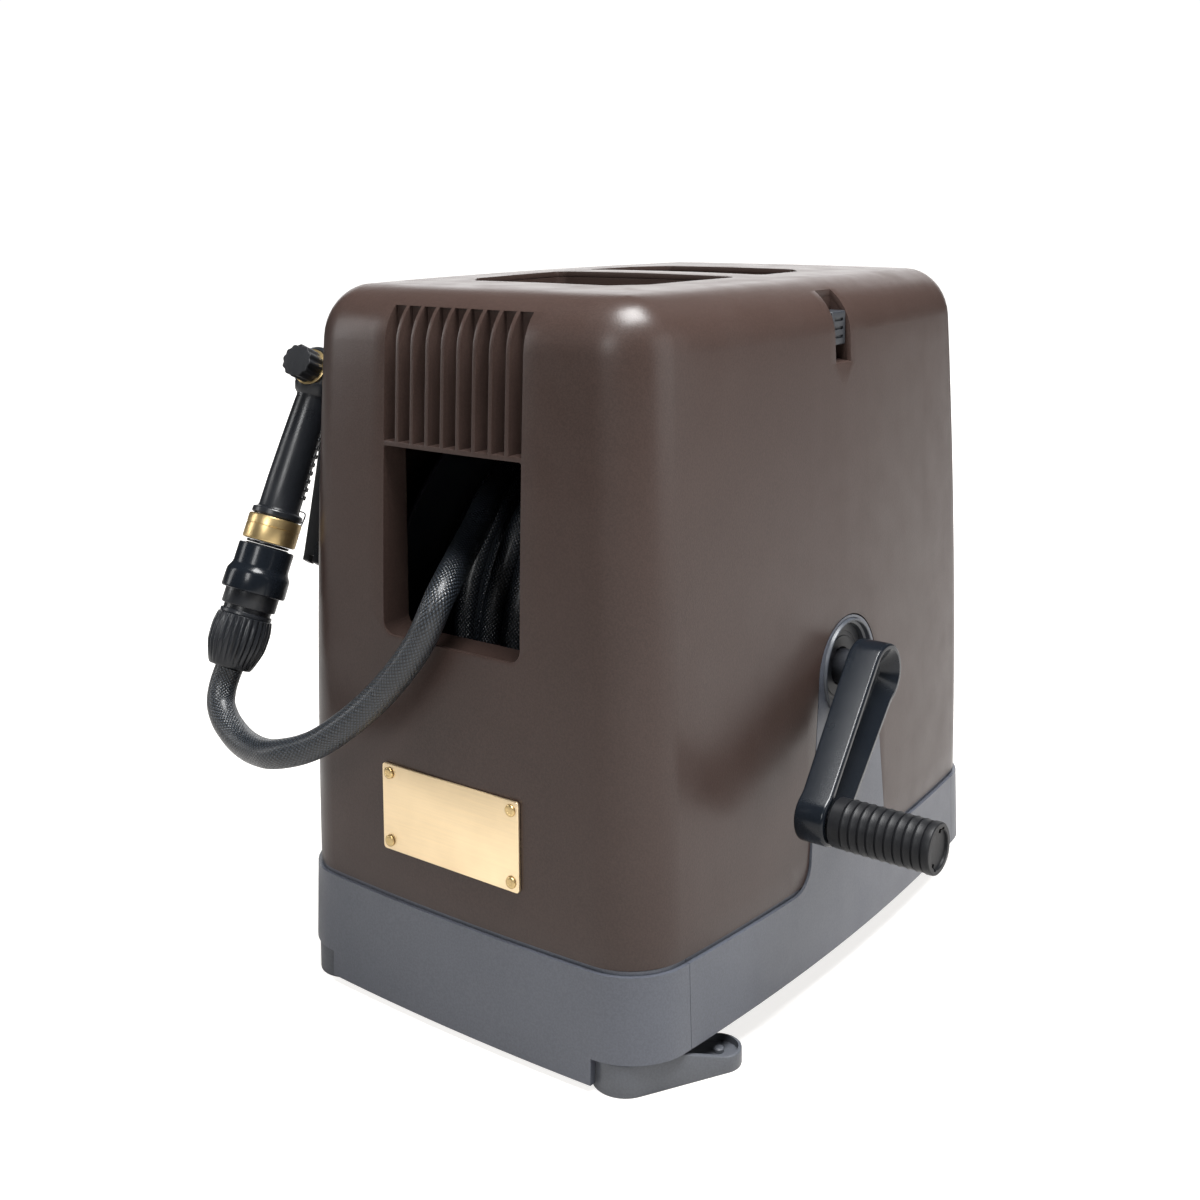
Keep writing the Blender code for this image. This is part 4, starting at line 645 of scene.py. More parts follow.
for side, hand in ((1, "right"), (-1, "left")):
    low_x, high_x = sorted((side * (bay_inner_x + 0.0003), side * bay_outer_x))
    panel = walled(housing("side_panel_wall_" + hand, side_skirt_z, parting_z, base_half, open_high=True),
                   wall)
    cut(panel, walled(housing("lip", lip_low, lip_high, base_half, 0.0022, open_low=True, open_high=True),
                      0.0024), "UNION")
    cut(panel, block("strip", (low_x, -panel_half_y, side_skirt_z - reach),
                     (high_x, panel_half_y, parting_z + reach)), "INTERSECT")
    rise = walled(housing("rise", parting_z - 0.007, bell_top_z + 0.01, bell_half, open_low=True,
                          open_high=True, step=0.010), wall)
    cut(rise, slab("bell_trim", bell(0.0006), low_x, high_x, Y_Z_PLANE), "INTERSECT")
    cut(panel, rise, "UNION")
    hub_room = hub_ring_radius + 0.0003
    cut(panel, turned("hub_hole", ((hub_room, -reach), (hub_room, reach)), 96, place=Matrix.Translation(
        (side * base_half_x, 0, axle_z)) @ Matrix.Rotation(pi / 2, 4, "Y")))
    fitted(placed(panel), "base", "base_plastic", base_plastic, "side_panel_" + hand)

# The cover: one brown shell, 3 mm thick, that bows, narrows upwards and rounds over at the
# top. It has the hose window with its sloping sill, nine vent slots between fins above it,
# the bell's cut-outs, and the carrying holes with the bar between them.
cover_plastic = moulded("cover_plastic", (0.033, 0.0212, 0.018), 0.32, rubbed=0, shine=0.26)
window_half_x, window_low, window_high = 0.0478, 0.210, 0.312
front_y = -(cover_half(window_high, 0)[1] + bow_y)
frame_front = front_y + bow_y + 0.0006
jamb_depth = 0.012
vent_count, vent_pitch, vent_fin = 9, 0.0109, 0.0024
vent_high = 0.386
carry_half_x, carry_front, carry_rear, bar_half = 0.065, -0.113, 0.080, 0.0135


def cover_core(name, inset):
    """The solid inside the cover's outer face, drawn in by the given amount."""
    return housing(name, parting_z, cover_top_z - inset, cover_half, inset, True, crown)


def oblong(half, low, high):
    """The four corners of an upright rectangle, as wide to the left as to the right."""
    return [(-half, low), (half, low), (half, high), (-half, high)]


def carry_tools(low, high):
    """Both carrying holes, each narrower at its far edge, with round corners."""
    holes = []
    for far, near in ((carry_rear, bar_half), (carry_front, -bar_half)):
        bend = far - copysign(0.018, far)
        outline = [(-carry_half_x, near), (carry_half_x, near), (carry_half_x - 0.004, bend),
                   (carry_half_x - 0.018, far), (-carry_half_x + 0.018, far), (-carry_half_x + 0.004, bend)]
        if far < 0:
            outline.reverse()
        holes.append(slab("hole", rounded(outline, 0.006), low, high))
    return joined("carrying_holes", holes)


shell = walled(housing("cover", parting_z + 0.0025, cover_top_z, cover_half, 0, True, crown, open_low=True),
               wall)
cut(shell, carry_tools(0.335, cover_top_z + reach))
bevelled(shell, 0.0014)
jamb = slab("jamb", rounded(oblong(window_half_x + wall, window_low - 0.010, window_high + 0.0025),
                            (0.010, 0.010, 0.002, 0.002)),
            -frame_front - jamb_depth, -front_y + reach, X_Z_PLANE)
cut(jamb, cover_core("jamb_bound", wall / 2), "INTERSECT")
cut(shell, jamb, "UNION")
vents = block("vent_block", (-window_half_x - wall, front_y - reach, window_high + 0.0005),
              (window_half_x + wall, frame_front + 0.010, vent_high + wall + 0.001))
cut(vents, cover_core("vent_bound", wall / 2), "INTERSECT")
cut(shell, vents, "UNION")
cut(shell, slab("window", rounded(oblong(window_half_x, window_low, window_high),
                                  (0.007, 0.007, 0.0015, 0.0015)),
                -front_y - 0.050, -front_y + reach, X_Z_PLANE))
sill_back, sill_front = (rounded(oblong(window_half_x, low, window_high - 0.02), (size, size, 0.002, 0.002))
                         for low, size in ((window_low + 0.0002, 0.007), (window_low - 0.0060, 0.011)))
sill = slab("sill", sill_back, -1, 1)
for v, (x, y) in zip([v for v in sill.data.vertices if v.co.z > 0], sill_front):
    v.co.x, v.co.y = x, y
for v in sill.data.vertices:
    v.co.z = -front_y + 0.0010 if v.co.z > 0 else -frame_front - jamb_depth - 0.001
sill.data.transform(X_Z_PLANE)
cut(shell, sill)
cut(shell, joined("slots", [
    block("slot", ((k - 4) * vent_pitch - (vent_pitch - vent_fin) / 2, front_y - reach, window_high + 0.0025),
          ((k - 4) * vent_pitch + (vent_pitch - vent_fin) / 2, frame_front + 0.0085, vent_high))
    for k in range(vent_count)]))
cut(shell, slab("bell_cut", bell(0.0), -bay_outer_x, bay_outer_x, Y_Z_PLANE))


# The latch recesses: an upright slot high on each side of the cover, which runs out upwards
# where the cover rounds over.
recess_half_y, recess_low, recess_high, recess_floor_x = 0.00875, 0.351, 0.384, 0.1123


def recess_tool(side):
    outline = [(recess_floor_x, recess_low + 0.0003), (recess_floor_x + 0.004, recess_low + 0.0001),
               (recess_floor_x + 0.014, recess_low - 0.0012), (base_half_x + reach, recess_low - 0.0012),
               (base_half_x + reach, recess_high + 0.012), (recess_floor_x, recess_high + 0.012)]
    return slab("recess", [(side * x, z) for x, z in outline], -recess_half_y, recess_half_y, X_Z_PLANE)


for side in (1, -1):
    cut(shell, recess_tool(side))
fitted(placed(shell, edge=0.0008, angle=50), "cover", "cover_plastic", cover_plastic, "cover_shell")


# The well under the carrying holes: a tub fixed below the cover's top, brown where it lines the holes and
# near black below as painted shade for the deep well, with a passage under the bar for the fingers.
well_floor, well_wall, well_rim = 0.345, 0.0025, 0.381
# Painted shade: the tub below the rim is coloured near black to stand for the dark inside the deep well.
well_painted_shade = moulded("well_painted_shade", (0.010, 0.0095, 0.009), 0.6)
for name, low, high, finish in (("carry_well_tub", well_floor - well_wall, well_rim, well_painted_shade),
                                ("carry_well_lining", well_rim, cover_top_z + crown, cover_plastic)):
    well = slab(name, rounded(oblong(carry_half_x + well_wall, carry_front - well_wall,
                                     carry_rear + well_wall), 0.012), low, high)
    cut(well, cover_core("well_bound", wall + 0.0003), "INTERSECT")
    cut(well, carry_tools(well_floor, cover_top_z + reach))
    cut(well, block("passage", (-0.060, -bar_half - 0.004, well_floor), (0.060, bar_half + 0.004, 0.3885)))
    fitted(placed(well), "cover", "cover_plastic", finish, *(["carry_well"] if low < well_rim else []))

# The latches: a dark grey slider with three finger grooves in a housing behind each recess.
# A slider is pushed down against its spring to let the cover go.
latch_face_x, latch_back_x, latch_half_y, latch_low, latch_high = 0.1230, 0.1126, 0.0081, 0.3594, 0.3785
latch_plastic = moulded("latch_plastic", (0.016, 0.018, 0.022), 0.40)
for side, hand in ((1, "right"), (-1, "left")):
    low_x, high_x = sorted((side * (recess_floor_x - 0.0025), side * (base_half_x + reach)))
    pocket = block("latch_pocket_" + hand, (low_x, -recess_half_y - 0.0025, recess_low - 0.0025),
                   (high_x, recess_half_y + 0.0025, recess_high + 0.0025))
    cut(pocket, cover_core("pocket_bound", wall + 0.0003), "INTERSECT")
    cut(pocket, recess_tool(side))
    fitted(placed(pocket), "cover", "cover_plastic", cover_plastic, "latch_housing_" + hand)
    low_x, high_x = sorted((side * latch_back_x, side * latch_face_x))
    slider = block("latch_slider_" + hand, (low_x, -latch_half_y, latch_low),
                   (high_x, latch_half_y, latch_high))
    applied(slider, "BEVEL", width=0.0011, segments=4)
    for k in range(3):
        middle = latch_low + (latch_high - latch_low) * (k + 1) / 4
        low_x, high_x = sorted((side * (latch_face_x - 0.0013), side * (latch_face_x + 0.01)))
        groove = block("groove", (low_x, -latch_half_y + 0.0032, middle - 0.0009),
                       (high_x, latch_half_y - 0.0032, middle + 0.0009))
        applied(groove, "BEVEL", width=0.0004, segments=2)
        cut(slider, groove)
    fitted(placed(slider), "latch_" + hand, "latch_plastic", latch_plastic, "latch_" + hand)

# The nameplate: a thin satin brass plate with round corners on the front, left bare, held by
# four small domed brass rivets.
plate_z, plate_wide, plate_high, plate_depth = 0.1153, 0.096, 0.048, 0.0016
plate_front = -(cover_half(plate_z, 0)[1] + bow_y + 0.0012)


def rolled_metal(name, colour, rough, grain, metal=1.0, turn=(1, 1, 1), grain_size=260, relief=0.000012):
    """Bare or lacquered metal: hair lines of the rolling or turning, a soft tarnish and faint marks."""
    made, tree, shader, where = material(name)
    lines = cloud(tree, where, grain_size, 3, turn)
    tarnish = between(tree, cloud(tree, where, 35, 6), 0.35, 0.7)
    shade = blended(tree, calc(tree, "MULTIPLY", tarnish, 0.35), colour, tuple(c * 0.72 for c in colour))
    shade = blended(tree, calc(tree, "MULTIPLY", between(tree, lines, 0.35, 0.65), 0.25), shade,
                    tuple(min(1.0, c * 1.15) for c in colour))
    tree.links.new(shade, shader.inputs["Base Color"])
    dial(shader, {"Metallic": metal})
    tree.links.new(calc(tree, "ADD", between(tree, lines, 0.3, 0.7, rough - grain, rough + grain),
                        calc(tree, "MULTIPLY", tarnish, 0.06)), shader.inputs["Roughness"])
    tree.links.new(raised(tree, lines, relief), shader.inputs["Normal"])
    return made


plate_metal = rolled_metal("plate_metal", (0.88, 0.70, 0.45), 0.38, 0.05, turn=(0.03, 1, 1), grain_size=900)
brass = rolled_metal("turned_brass", (0.58, 0.43, 0.21), 0.34, 0.02, turn=(0.2, 0.2, 1), grain_size=500,
                     relief=0.000002)
steel = rolled_metal("wire_steel", (0.58, 0.58, 0.60), 0.26, 0.05)
plate = slab("name_plate", rounded(oblong(plate_wide / 2, plate_z - plate_high / 2, plate_z + plate_high / 2),
                                   0.002),
             -plate_front - plate_depth, -plate_front, X_Z_PLANE)
cut(plate, cover_core("plate_seat", -0.0003))
fitted(placed(plate, edge=0.0003, segments=2), "cover", "plate", plate_metal, "nameplate")
for k, (x, z) in enumerate(((-1, 1), (1, 1), (-1, -1), (1, -1))):
    dome = turned(f"rivet_{k + 1}", [(0.0032, 0), (0.0032, 0.0003)] + [
        (0.0016 * cos(pi / 12 * s) + 0.0016, 0.0003 + 0.0008 * sin(pi / 12 * s))
        for s in range(1, 7)] + [(0.0013, 0.0009), (0.0002, 0.0010)], 32)
    spot = Matrix.Translation((x * (plate_wide / 2 - 0.0050), plate_front - 0.0003,
                               plate_z + z * (plate_high / 2 - 0.0050)))
    fitted(placed(dome, spot @ X_Z_PLANE), "cover", "brass", brass, f"plate_rivet_{k + 1}")

# The hub bearings: a grey ring set flush in each bell round a dark recessed disc, moulded with a
# sleeve behind in which the axle turns.
along_x = Matrix.Translation((0, 0, axle_z)) @ Matrix.Rotation(pi / 2, 4, "Y")
along_minus_x = Matrix.Translation((0, 0, axle_z)) @ Matrix.Rotation(-pi / 2, 4, "Y")
hub_face = cover_half(axle_z, 0)[0] + bow_x
hub_plastic = moulded("hub_plastic", (0.034, 0.038, 0.046), 0.34, shine=0.35)
disc_plastic = moulded("hub_disc_plastic", (0.012, 0.013, 0.016), 0.40, shine=0.25)
for hand, turn in (("right", along_x), ("left", along_minus_x)):
    ring = turned("hub_ring_" + hand, [(radius, hub_face + out) for radius, out in (
        (0.0246, -0.0050), (0.0248, -0.0022), (0.0262, -0.0014), (0.0264, 0.0008), (0.0268, 0.0012),
        (0.0275, 0.0011), (0.0280, 0.0003), (0.0280, -0.0070), (0.0246, -0.0070))], 96, True)
    fitted(placed(ring, turn), "base", "hub_plastic", hub_plastic, "hub_bearing_" + hand)
    disc = turned("hub_disc_" + hand, [(radius, hub_face - depth) for radius, depth in (
        (0.0104, 0.0056), (0.0110, 0.0050), (0.0170, 0.0050), (0.0174, 0.0054), (0.0196, 0.0054),
        (0.0200, 0.0050), (0.02455, 0.0050), (0.02455, 0.0070), (0.014, 0.0070))]
        + [(0.014, 0.104), (0.0104, 0.104)], 96, True)
    fitted(placed(disc, turn), "base", "hub_plastic", disc_plastic)

# The drum: black plastic, a ribbed barrel between two round flanges with rolled rims, on a
# tube axle that carries the water in and turns with the crank.
drum_plastic = moulded("drum_plastic", (0.026, 0.028, 0.034), 0.45)
drum_half, flange_radius, flange_wall = 0.095, 0.142, 0.004
tube_axle = turned("tube_axle", [(0.0085, -0.12439), (0.0100, -0.1236), (0.0100, 0.1470),
                                 (0.0085, 0.1477)], 48)
fitted(placed(tube_axle, along_x), "drum", "hub_plastic", disc_plastic, "drum_axle")
barrel = turned("barrel", [(0.082, drum_half - 0.0003), (0.085, drum_half - 0.0003),
                           (0.085, 0.0003 - drum_half), (0.082, 0.0003 - drum_half)], 72, True)
fitted(placed(barrel, along_x, 0.0006), "drum", "drum_plastic", drum_plastic, "drum_barrel")
for hand, turn in (("right", along_x), ("left", along_minus_x)):
    flange = turned("flange_" + hand, [(radius, drum_half + out) for radius, out in (
        (0.0103, flange_wall), (0.030, flange_wall), (0.032, 0.0024), (0.130, 0.0024),
        (0.132, flange_wall), (0.1405, flange_wall), (0.1415, 0.0037), (flange_radius, 0.0028),
        (flange_radius, 0.0010), (0.1412, 0), (0.016, 0), (0.016, -0.012), (0.0103, -0.012))], 128, True)
    cut(flange, joined("ribs", [
        block("rib", (-0.0012, 0.031, drum_half + 0.0020), (0.0012, 0.131, drum_half + 0.0038),
              Matrix.Rotation(tau / 12 * k, 4, "Z")) for k in range(12)]), "UNION")
    fitted(placed(flange, turn), "drum", "drum_plastic", drum_plastic, "drum_flange_" + hand)

# The crank arm: a glossy black bar that leans out from the axle's end to the grip, hollowed
# on its outer face so that it has an even wall, with a boss round the axle's end.
crank_radius, crank_drop = 0.1025, radians(29.4)
arm_hub, arm_tip = 0.0175, 0.0135
arm_hub_x = hub_face + 0.0056
arm_tip_x, hub_top = arm_hub_x + 0.018, arm_hub_x + 0.019
tip_top = arm_tip_x + 0.017
arm_place = Matrix.Translation((0, 0, axle_z)) @ Matrix(
    ((0, 0, 1, 0), (-cos(crank_drop), sin(crank_drop), 0, 0),
     (-sin(crank_drop), -cos(crank_drop), 0, 0), (0, 0, 0, 1)))
gloss_black = moulded("gloss_black", (0.005, 0.0065, 0.009), 0.22, 0.00001, rubbed=0, coat=0.06, shine=0.20)


def arm_bar(name, top_shrink, foot_shrink, low_hub, high_hub, low_tip, high_tip):
    """A bar between two round ends whose faces lean outwards from the hub to the grip."""
    lean = asin((arm_hub - arm_tip) / crank_radius)
    soft = 0.06                              # the share of the arm over which it bends at each end
    bend = 2 * soft * (1 - soft)
    turns = [(0, arm_hub, pi / 2 - lean + (pi + 2 * lean) * k / 32) for k in range(33)]
    turns += [(crank_radius, arm_tip, lean - pi / 2 + (pi - 2 * lean) * k / 24) for k in range(25)]
    top, foot = ([(x + (r - shrink) * cos(a), (r - shrink) * sin(a)) for x, r, a in turns]
                 for shrink in (top_shrink, foot_shrink))
    bar = slab(name, foot, -1, 1)
    for v, (x, y) in zip([v for v in bar.data.vertices if v.co.z > 0], top):
        v.co.x, v.co.y = x, y
    shape = bmesh.new()
    shape.from_mesh(bar.data)
    for k in range(1, 48):
        split(shape, (crank_radius * k / 48, 0, 0), (1, 0, 0))
    for v in shape.verts:
        share = min(max(v.co.x / crank_radius, 0.0), 1.0)
        eased = share ** 2 / bend if share < 0.5 else 1 - (1 - share) ** 2 / bend
        share = (share - soft / 2) / (1 - soft) if soft < share < 1 - soft else eased
        high, low = high_hub + (high_tip - high_hub) * share, low_hub + (low_tip - low_hub) * share
        v.co.z = low + (high - low) * (v.co.z + 1) / 2
    shape.to_mesh(bar.data)
    shape.free()
    return bar


arm = arm_bar("crank_bar", 0, 0, arm_hub_x, hub_top, arm_tip_x, tip_top)
bevelled(arm, 0.0016, 4)
cut(arm, arm_bar("channel", 0.0026, 0.0115, hub_top - 0.0080, hub_top + 0.0004, tip_top - 0.0080,
                 tip_top + 0.0004))
cut(arm, turned("axle_seat", ((0.0103, arm_hub_x - reach), (0.0103, hub_top - 0.0082)), 48))
cut(arm, turned("spindle_hole", ((0.0043, arm_tip_x + 0.0017), (0.0043, tip_top + reach)), 32,
                place=Matrix.Translation((crank_radius, 0, 0))))
fitted(placed(arm, arm_place), "drum", "gloss_plastic", gloss_black, "crank_arm")

# The grip: a dark grey sleeve that turns on a steel spindle, with ten ring grooves and a
# recessed cap in its end.
grip_radius, grip_start = 0.013, tip_top + 0.0015
grip_end = grip_start + 0.0555
tip_place = arm_place @ Matrix.Translation((crank_radius, 0, 0))
grip_plastic = moulded("grip_plastic", (0.007, 0.0074, 0.0085), 0.44, shine=0.16)
grip_outline = [(radius, grip_end - down) for radius, down in (
    (0.0001, 0.0015), (0.0092, 0.0015), (0.0096, 0.0013), (0.0098, 0.0004), (0.0102, 0), (0.0122, 0),
    (0.0128, 0.0004), (grip_radius, 0.0010))]
for k in range(10):
    top = grip_end - 0.0035 - 0.00485 * k
    grip_outline += [(grip_radius + wide, top - down) for wide, down in (
        (0.0001, 0), (0, 0.0003), (-0.0009, 0.0007), (-0.0010, 0.0011), (-0.0003, 0.0015),
        (-0.0003, 0.0040))]
grip_outline += [(grip_radius - 0.0003, grip_start + 0.0008), (grip_radius - 0.0012, grip_start),
                 (0.0044, grip_start), (0.0044, grip_end - 0.0051), (0.0001, grip_end - 0.0051)]
grip = turned("grip_sleeve", grip_outline, 64)
for turn in (0.6, 0.6 + pi):
    cut(grip, block("notch", (0.0075, -0.0012, grip_end - 0.0025), (0.0108, 0.0012, grip_end + 0.002),
                    Matrix.Rotation(turn, 4, "Z")))
fitted(placed(grip, tip_place), "crank_grip", "grip_plastic", grip_plastic, "crank_grip")

# The front feet: two long moulded feet that fold out from under the corners on steel pins.
# A foot's top slopes down to a tip with a rim round a hollow and a small peg.
foot_reach, foot_height, foot_tip_height = 0.0508, 0.0176, 0.009
foot_heading = radians(55.8)
foot_plastic = moulded("foot_plastic", (0.052, 0.056, 0.065), 0.42)


def foot_bar(name, shrink, low, rise):
    """A foot from its pivot to its tip, with a top that slopes from mid-length."""
    big, small = 0.017 - shrink, 0.012 - shrink
    lean = asin(0.005 / foot_reach)
    outline = [(big * cos(a), big * sin(a)) for a in (
        pi / 2 - lean + (pi + 2 * lean) * k / 28 for k in range(29))]
    outline += [(foot_reach + small * cos(a), small * sin(a)) for a in (
        -pi / 2 + lean + (pi - 2 * lean) * k / 20 for k in range(21))]
    bar = slab(name, outline, -1, 1)
    shape = bmesh.new()
    shape.from_mesh(bar.data)
    for share in (0.40, 0.45, 0.50, 0.6, 0.7, 0.85, 1.0):
        split(shape, (foot_reach * share, 0, 0), (1, 0, 0))
    for v in shape.verts:
        share = min(max((v.co.x / foot_reach - 0.45) / 0.55, 0.0), 1.0)
        v.co.z = foot_height + (foot_tip_height - foot_height) * share + rise if v.co.z > 0 else low
    shape.to_mesh(bar.data)
    shape.free()
    return bar


for side, hand in ((1, "right"), (-1, "left")):
    heading = foot_heading if side > 0 else pi - foot_heading
    place = Matrix.Translation((side * foot_pivot.x, foot_pivot.y, 0)) @ Matrix.Rotation(heading, 4, "Z")
    foot = foot_bar("foot_" + hand, 0, 0, 0)
    bevelled(foot, 0.0009)
    hollow = foot_bar("hollow", 0.0018, 0.0055, reach)
    cut(hollow, block("hollow_keep", (foot_reach * 0.45, -0.017, 0), (foot_reach + reach, 0.017, 0.06)),
        "INTERSECT")
    cut(foot, hollow)
    cut(foot, turned("peg", ((0.0028, 0.0027), (0.0028, 0.0074), (0.0022, 0.0080)), 32,
                     place=Matrix.Translation((foot_reach, 0, 0))), "UNION")
    cut(foot, turned("pin_bore", ((0.0049, -reach), (0.0049, 0.05)), 32))
    cut(foot, turned("pin_seat", ((0.0079, -reach), (0.0079, 0.0040)), 32))
    fitted(placed(foot, place), "foot_" + hand, "base_plastic", foot_plastic, "front_foot_" + hand)

# The rear feet: a short round boss under each back corner with a rubber pad let into it.
pad_rubber = moulded("pad_rubber", (0.016, 0.016, 0.017), 0.72, 0.00006, 700)
for side, hand in ((1, "right"), (-1, "left")):
    place = Matrix.Translation((side * 0.098, 0.158, 0))
    boss = turned("rear_boss_" + hand, [(0.0175, 0.0043), (0.0185, 0.0047), (0.019, 0.0056), (0.019, 0.0162),
                                        (0.0186, 0.0172), (0.0176, 0.0176)], 64)
    fitted(placed(boss, place), "base", "base_plastic", base_plastic, "rear_foot_" + hand)
    pad = turned("rear_pad_" + hand, [(0.0160, 0), (0.0168, 0.0003), (0.017, 0.0010), (0.017, 0.0040),
                                      (0.010, 0.0040)], 64)
    fitted(placed(pad, place), "base", "pad", pad_rubber, "foot_pad_" + hand)

# The water inlet on the left hub: a black elbow boss whose nipple leans down and back, with a
# snap groove for a quick coupling.
gun_plastic = moulded("gun_plastic", (0.007, 0.008, 0.010), 0.30, shine=0.35)
elbow_start = -(hub_face - 0.0050 + 0.0003)
elbow_end = elbow_start - 0.0253
elbow = turned("elbow_boss", [(0.0135, elbow_end), (0.0146, elbow_end + 0.0005), (0.015, elbow_end + 0.0015),
                              (0.015, elbow_start - 0.0015), (0.0146, elbow_start - 0.0005),
                              (0.0135, elbow_start)], 64)
fitted(placed(elbow, along_x), "base", "drum_plastic", drum_plastic, "inlet_elbow")
nipple_place = Matrix.Translation(((elbow_start + elbow_end) / 2 - 0.002, 0, axle_z)) @ Matrix.Rotation(
    pi + radians(35), 4, "X")
nipple = turned("snap_nipple", [(0.0040, 0.022), (0.0040, 0.0338), (0.0058, 0.0340), (0.0066, 0.0332),
                                (0.0075, 0.0310), (0.0075, 0.0280), (0.0060, 0.0275), (0.0060, 0.0245),
                                (0.0087, 0.0225), (0.0087, 0.0165), (0.0105, 0.0145), (0.0105, 0.0125),
                                (0.0040, 0.0125)], 64)
cut(nipple, turned("elbow_room", ((0.0153, elbow_end - reach), (0.0153, elbow_start + reach)), 64,
                   place=nipple_place.inverted() @ along_x))
fitted(placed(nipple, nipple_place), "base", "gun_plastic", gun_plastic, "inlet_nipple")

# The spray gun's body: a black barrel head with a flared collar below, which the handle plugs
# into. Two cheeks under the head carry the trigger's pin.
gun_body_place = Matrix.Translation(-home) @ gun_place
head_z = -0.0045
forward_local = Matrix.Translation((0, 0, head_z)) @ Matrix.Rotation(-pi / 2, 4, "X")
forward = gun_body_place @ forward_local
knob_back = -0.0267 + 0.0137
ring_seat = knob_back + 0.0015 + 0.0006
pivot_y, pivot_z = 0.020, -0.0215
head = turned("gun_head", [(0.0110, 0.046), (0.0135, 0.0455), (0.0135, ring_seat + 0.0029),
                           (0.0131, ring_seat + 0.0015), (0.0115, ring_seat)], place=forward_local)
cut(head, turned("gun_collar", [(0.0105, head_z), (0.0124, -0.0105), (0.0134, -0.0125), (0.0135, -0.0140),
                                (0.0122, -0.0180), (0.0104, -0.0200), (0.0099, -0.023)]), "UNION")
cut(head, turned("knob_seat", ((0.0109, -0.05), (0.0109, ring_seat)), 48, place=forward_local))
eye_out = 0.0046
for side in (1, -1):
    cut(head, slab("cheek", [(0.002, head_z), (pivot_y + eye_out, head_z)] + [
        (pivot_y + eye_out * cos(a), pivot_z - eye_out * sin(a))
        for a in (pi / 2 * k / 8 for k in range(9))] + [
        (pivot_y - eye_out, pivot_z - 0.001), (0.006, -0.021)], -0.0011, 0.0011,
        Matrix.Translation((side * 0.0075, 0, 0)) @ Y_Z_PLANE), "UNION")
cross = Matrix.Translation((0, pivot_y, pivot_z)) @ Matrix.Rotation(pi / 2, 4, "Y")
for radius, half in ((eye_out + 0.0006, 0.0064), (0.0021, 0.012)):
    cut(head, turned("pin_room", ((radius, -half), (radius, half)), 32, place=cross))
fitted(placed(head, gun_body_place), "cover", "gun_plastic", gun_plastic, "gun_body")

# The handle: a satin black sleeve that swells from a narrow neck, with rows of small finger
# bumps on the trigger's side and a flange at its foot.
handle_outline = [(0.0100, -0.0205), (0.0104, -0.0235), (0.0107, -0.0310), (0.0110, -0.0390),
                  (0.0113, -0.0480), (0.0116, -0.0590), (0.0119, -0.0710), (0.0120, -0.0880),
                  (0.0126, -0.0893), (0.0144, -0.0900), (0.0148, -0.0906), (0.0148, -0.0929),
                  (0.0144, -0.0935), (0.0132, -0.0935), (0.0132, -0.0940)]
handle = turned("gun_grip", handle_outline, 72)
bumps = []
for turn in (-78, -54, -30, 30, 54, 78):
    for k in range(10):
        high = -0.0335 - 0.0050 * k
        near = max(r for r, z in handle_outline[:8] if z >= high)
        bump = block("bump", (-0.0012, near - 0.0012, -0.0013), (0.0012, near + 0.0011, 0.0013))
        applied(bump, "BEVEL", width=0.0005, segments=2)
        bump.data.transform(Matrix.Rotation(radians(turn), 4, "Z") @ Matrix.Translation((0, 0, high)))
        bumps.append(bump)
cut(handle, joined("bumps", bumps), "UNION")
fitted(placed(handle, gun_body_place), "cover", "gun_plastic", gun_plastic, "gun_handle")

# The nose: a cone that widens to a rim round the brass spray face with its rings of holes.
nose = turned("gun_cone", [(0.0135, 0.0463), (0.0145, 0.0466), (0.0178, 0.0540), (0.0188, 0.0556),
                           (0.0190, 0.0565), (0.0190, 0.0612), (0.0186, 0.0620), (0.0174, 0.0620),
                           (0.0170, 0.0614), (0.0170, 0.0587)])
fitted(placed(nose, forward), "cover", "gun_plastic", gun_plastic, "gun_nose")
rose = turned("spray_face", [(0.0167, 0.0590), (0.0167, 0.0604), (0.0163, 0.0607), (0.0120, 0.0610),
                             (0.0040, 0.0610), (0.0035, 0.0606)])
cut(rose, joined("holes", [
    turned("hole", ((0.0006, 0.0596), (0.0006, 0.0620)), 12, place=Matrix.Translation(
        (ring * cos(tau * k / count), ring * sin(tau * k / count), 0)))
    for ring, count in ((0.0045, 6), (0.0085, 12), (0.0125, 18)) for k in range(count)]))
fitted(placed(rose, forward), "cover", "brass", brass, "spray_rose")

# The flow knob behind the head: twelve shallow lobes and a flat dull face, turning on a thin
# brass ring.
knob_plastic = moulded("knob_plastic", (0.009, 0.0095, 0.011), 0.48, shine=0.2)
knob_radius, lobes, lobe_height = 0.0094, 12, 0.0004
knob_rim = [(knob_radius + lobe_height * cos(lobes * a), a) for a in (
    tau * k / 144 for k in range(144))]
knob = slab("knob", [(r * cos(a), r * sin(a)) for r, a in knob_rim], -0.0267, -0.0130)
fitted(placed(knob, forward, 0.0006, 3, 50), "flow_knob", "gun_plastic", knob_plastic, "flow_knob")
knob_ring = turned("knob_washer", [(0.0100, knob_back + 0.0003), (0.0106, knob_back + 0.0005),
                                   (0.0106, ring_seat - 0.0005), (0.0100, ring_seat - 0.0003)], 64)
fitted(placed(knob_ring, forward), "cover", "brass", brass, "knob_ring")

# The brass ring at the handle's foot, turned, with a thin seam line, and the black stub below
# it that the connector pushes on.
ring = turned("seal_ring", [(0.0146, -0.0941), (0.0153, -0.0944), (0.0156, -0.0952), (0.0156, -0.0995),
                            (0.0153, -0.0997), (0.0153, -0.0999), (0.0156, -0.1001), (0.0156, -0.1078),
                            (0.0153, -0.1086), (0.0146, -0.1089)], 96)
fitted(placed(ring, gun_body_place), "cover", "brass", brass, "brass_ring")
stub = turned("plug_stub", [(0.0125, -0.1092), (0.0125, -0.1102), (0.0120, -0.1106)], 64)
fitted(placed(stub, gun_body_place), "cover", "gun_plastic", gun_plastic, "gun_stub")

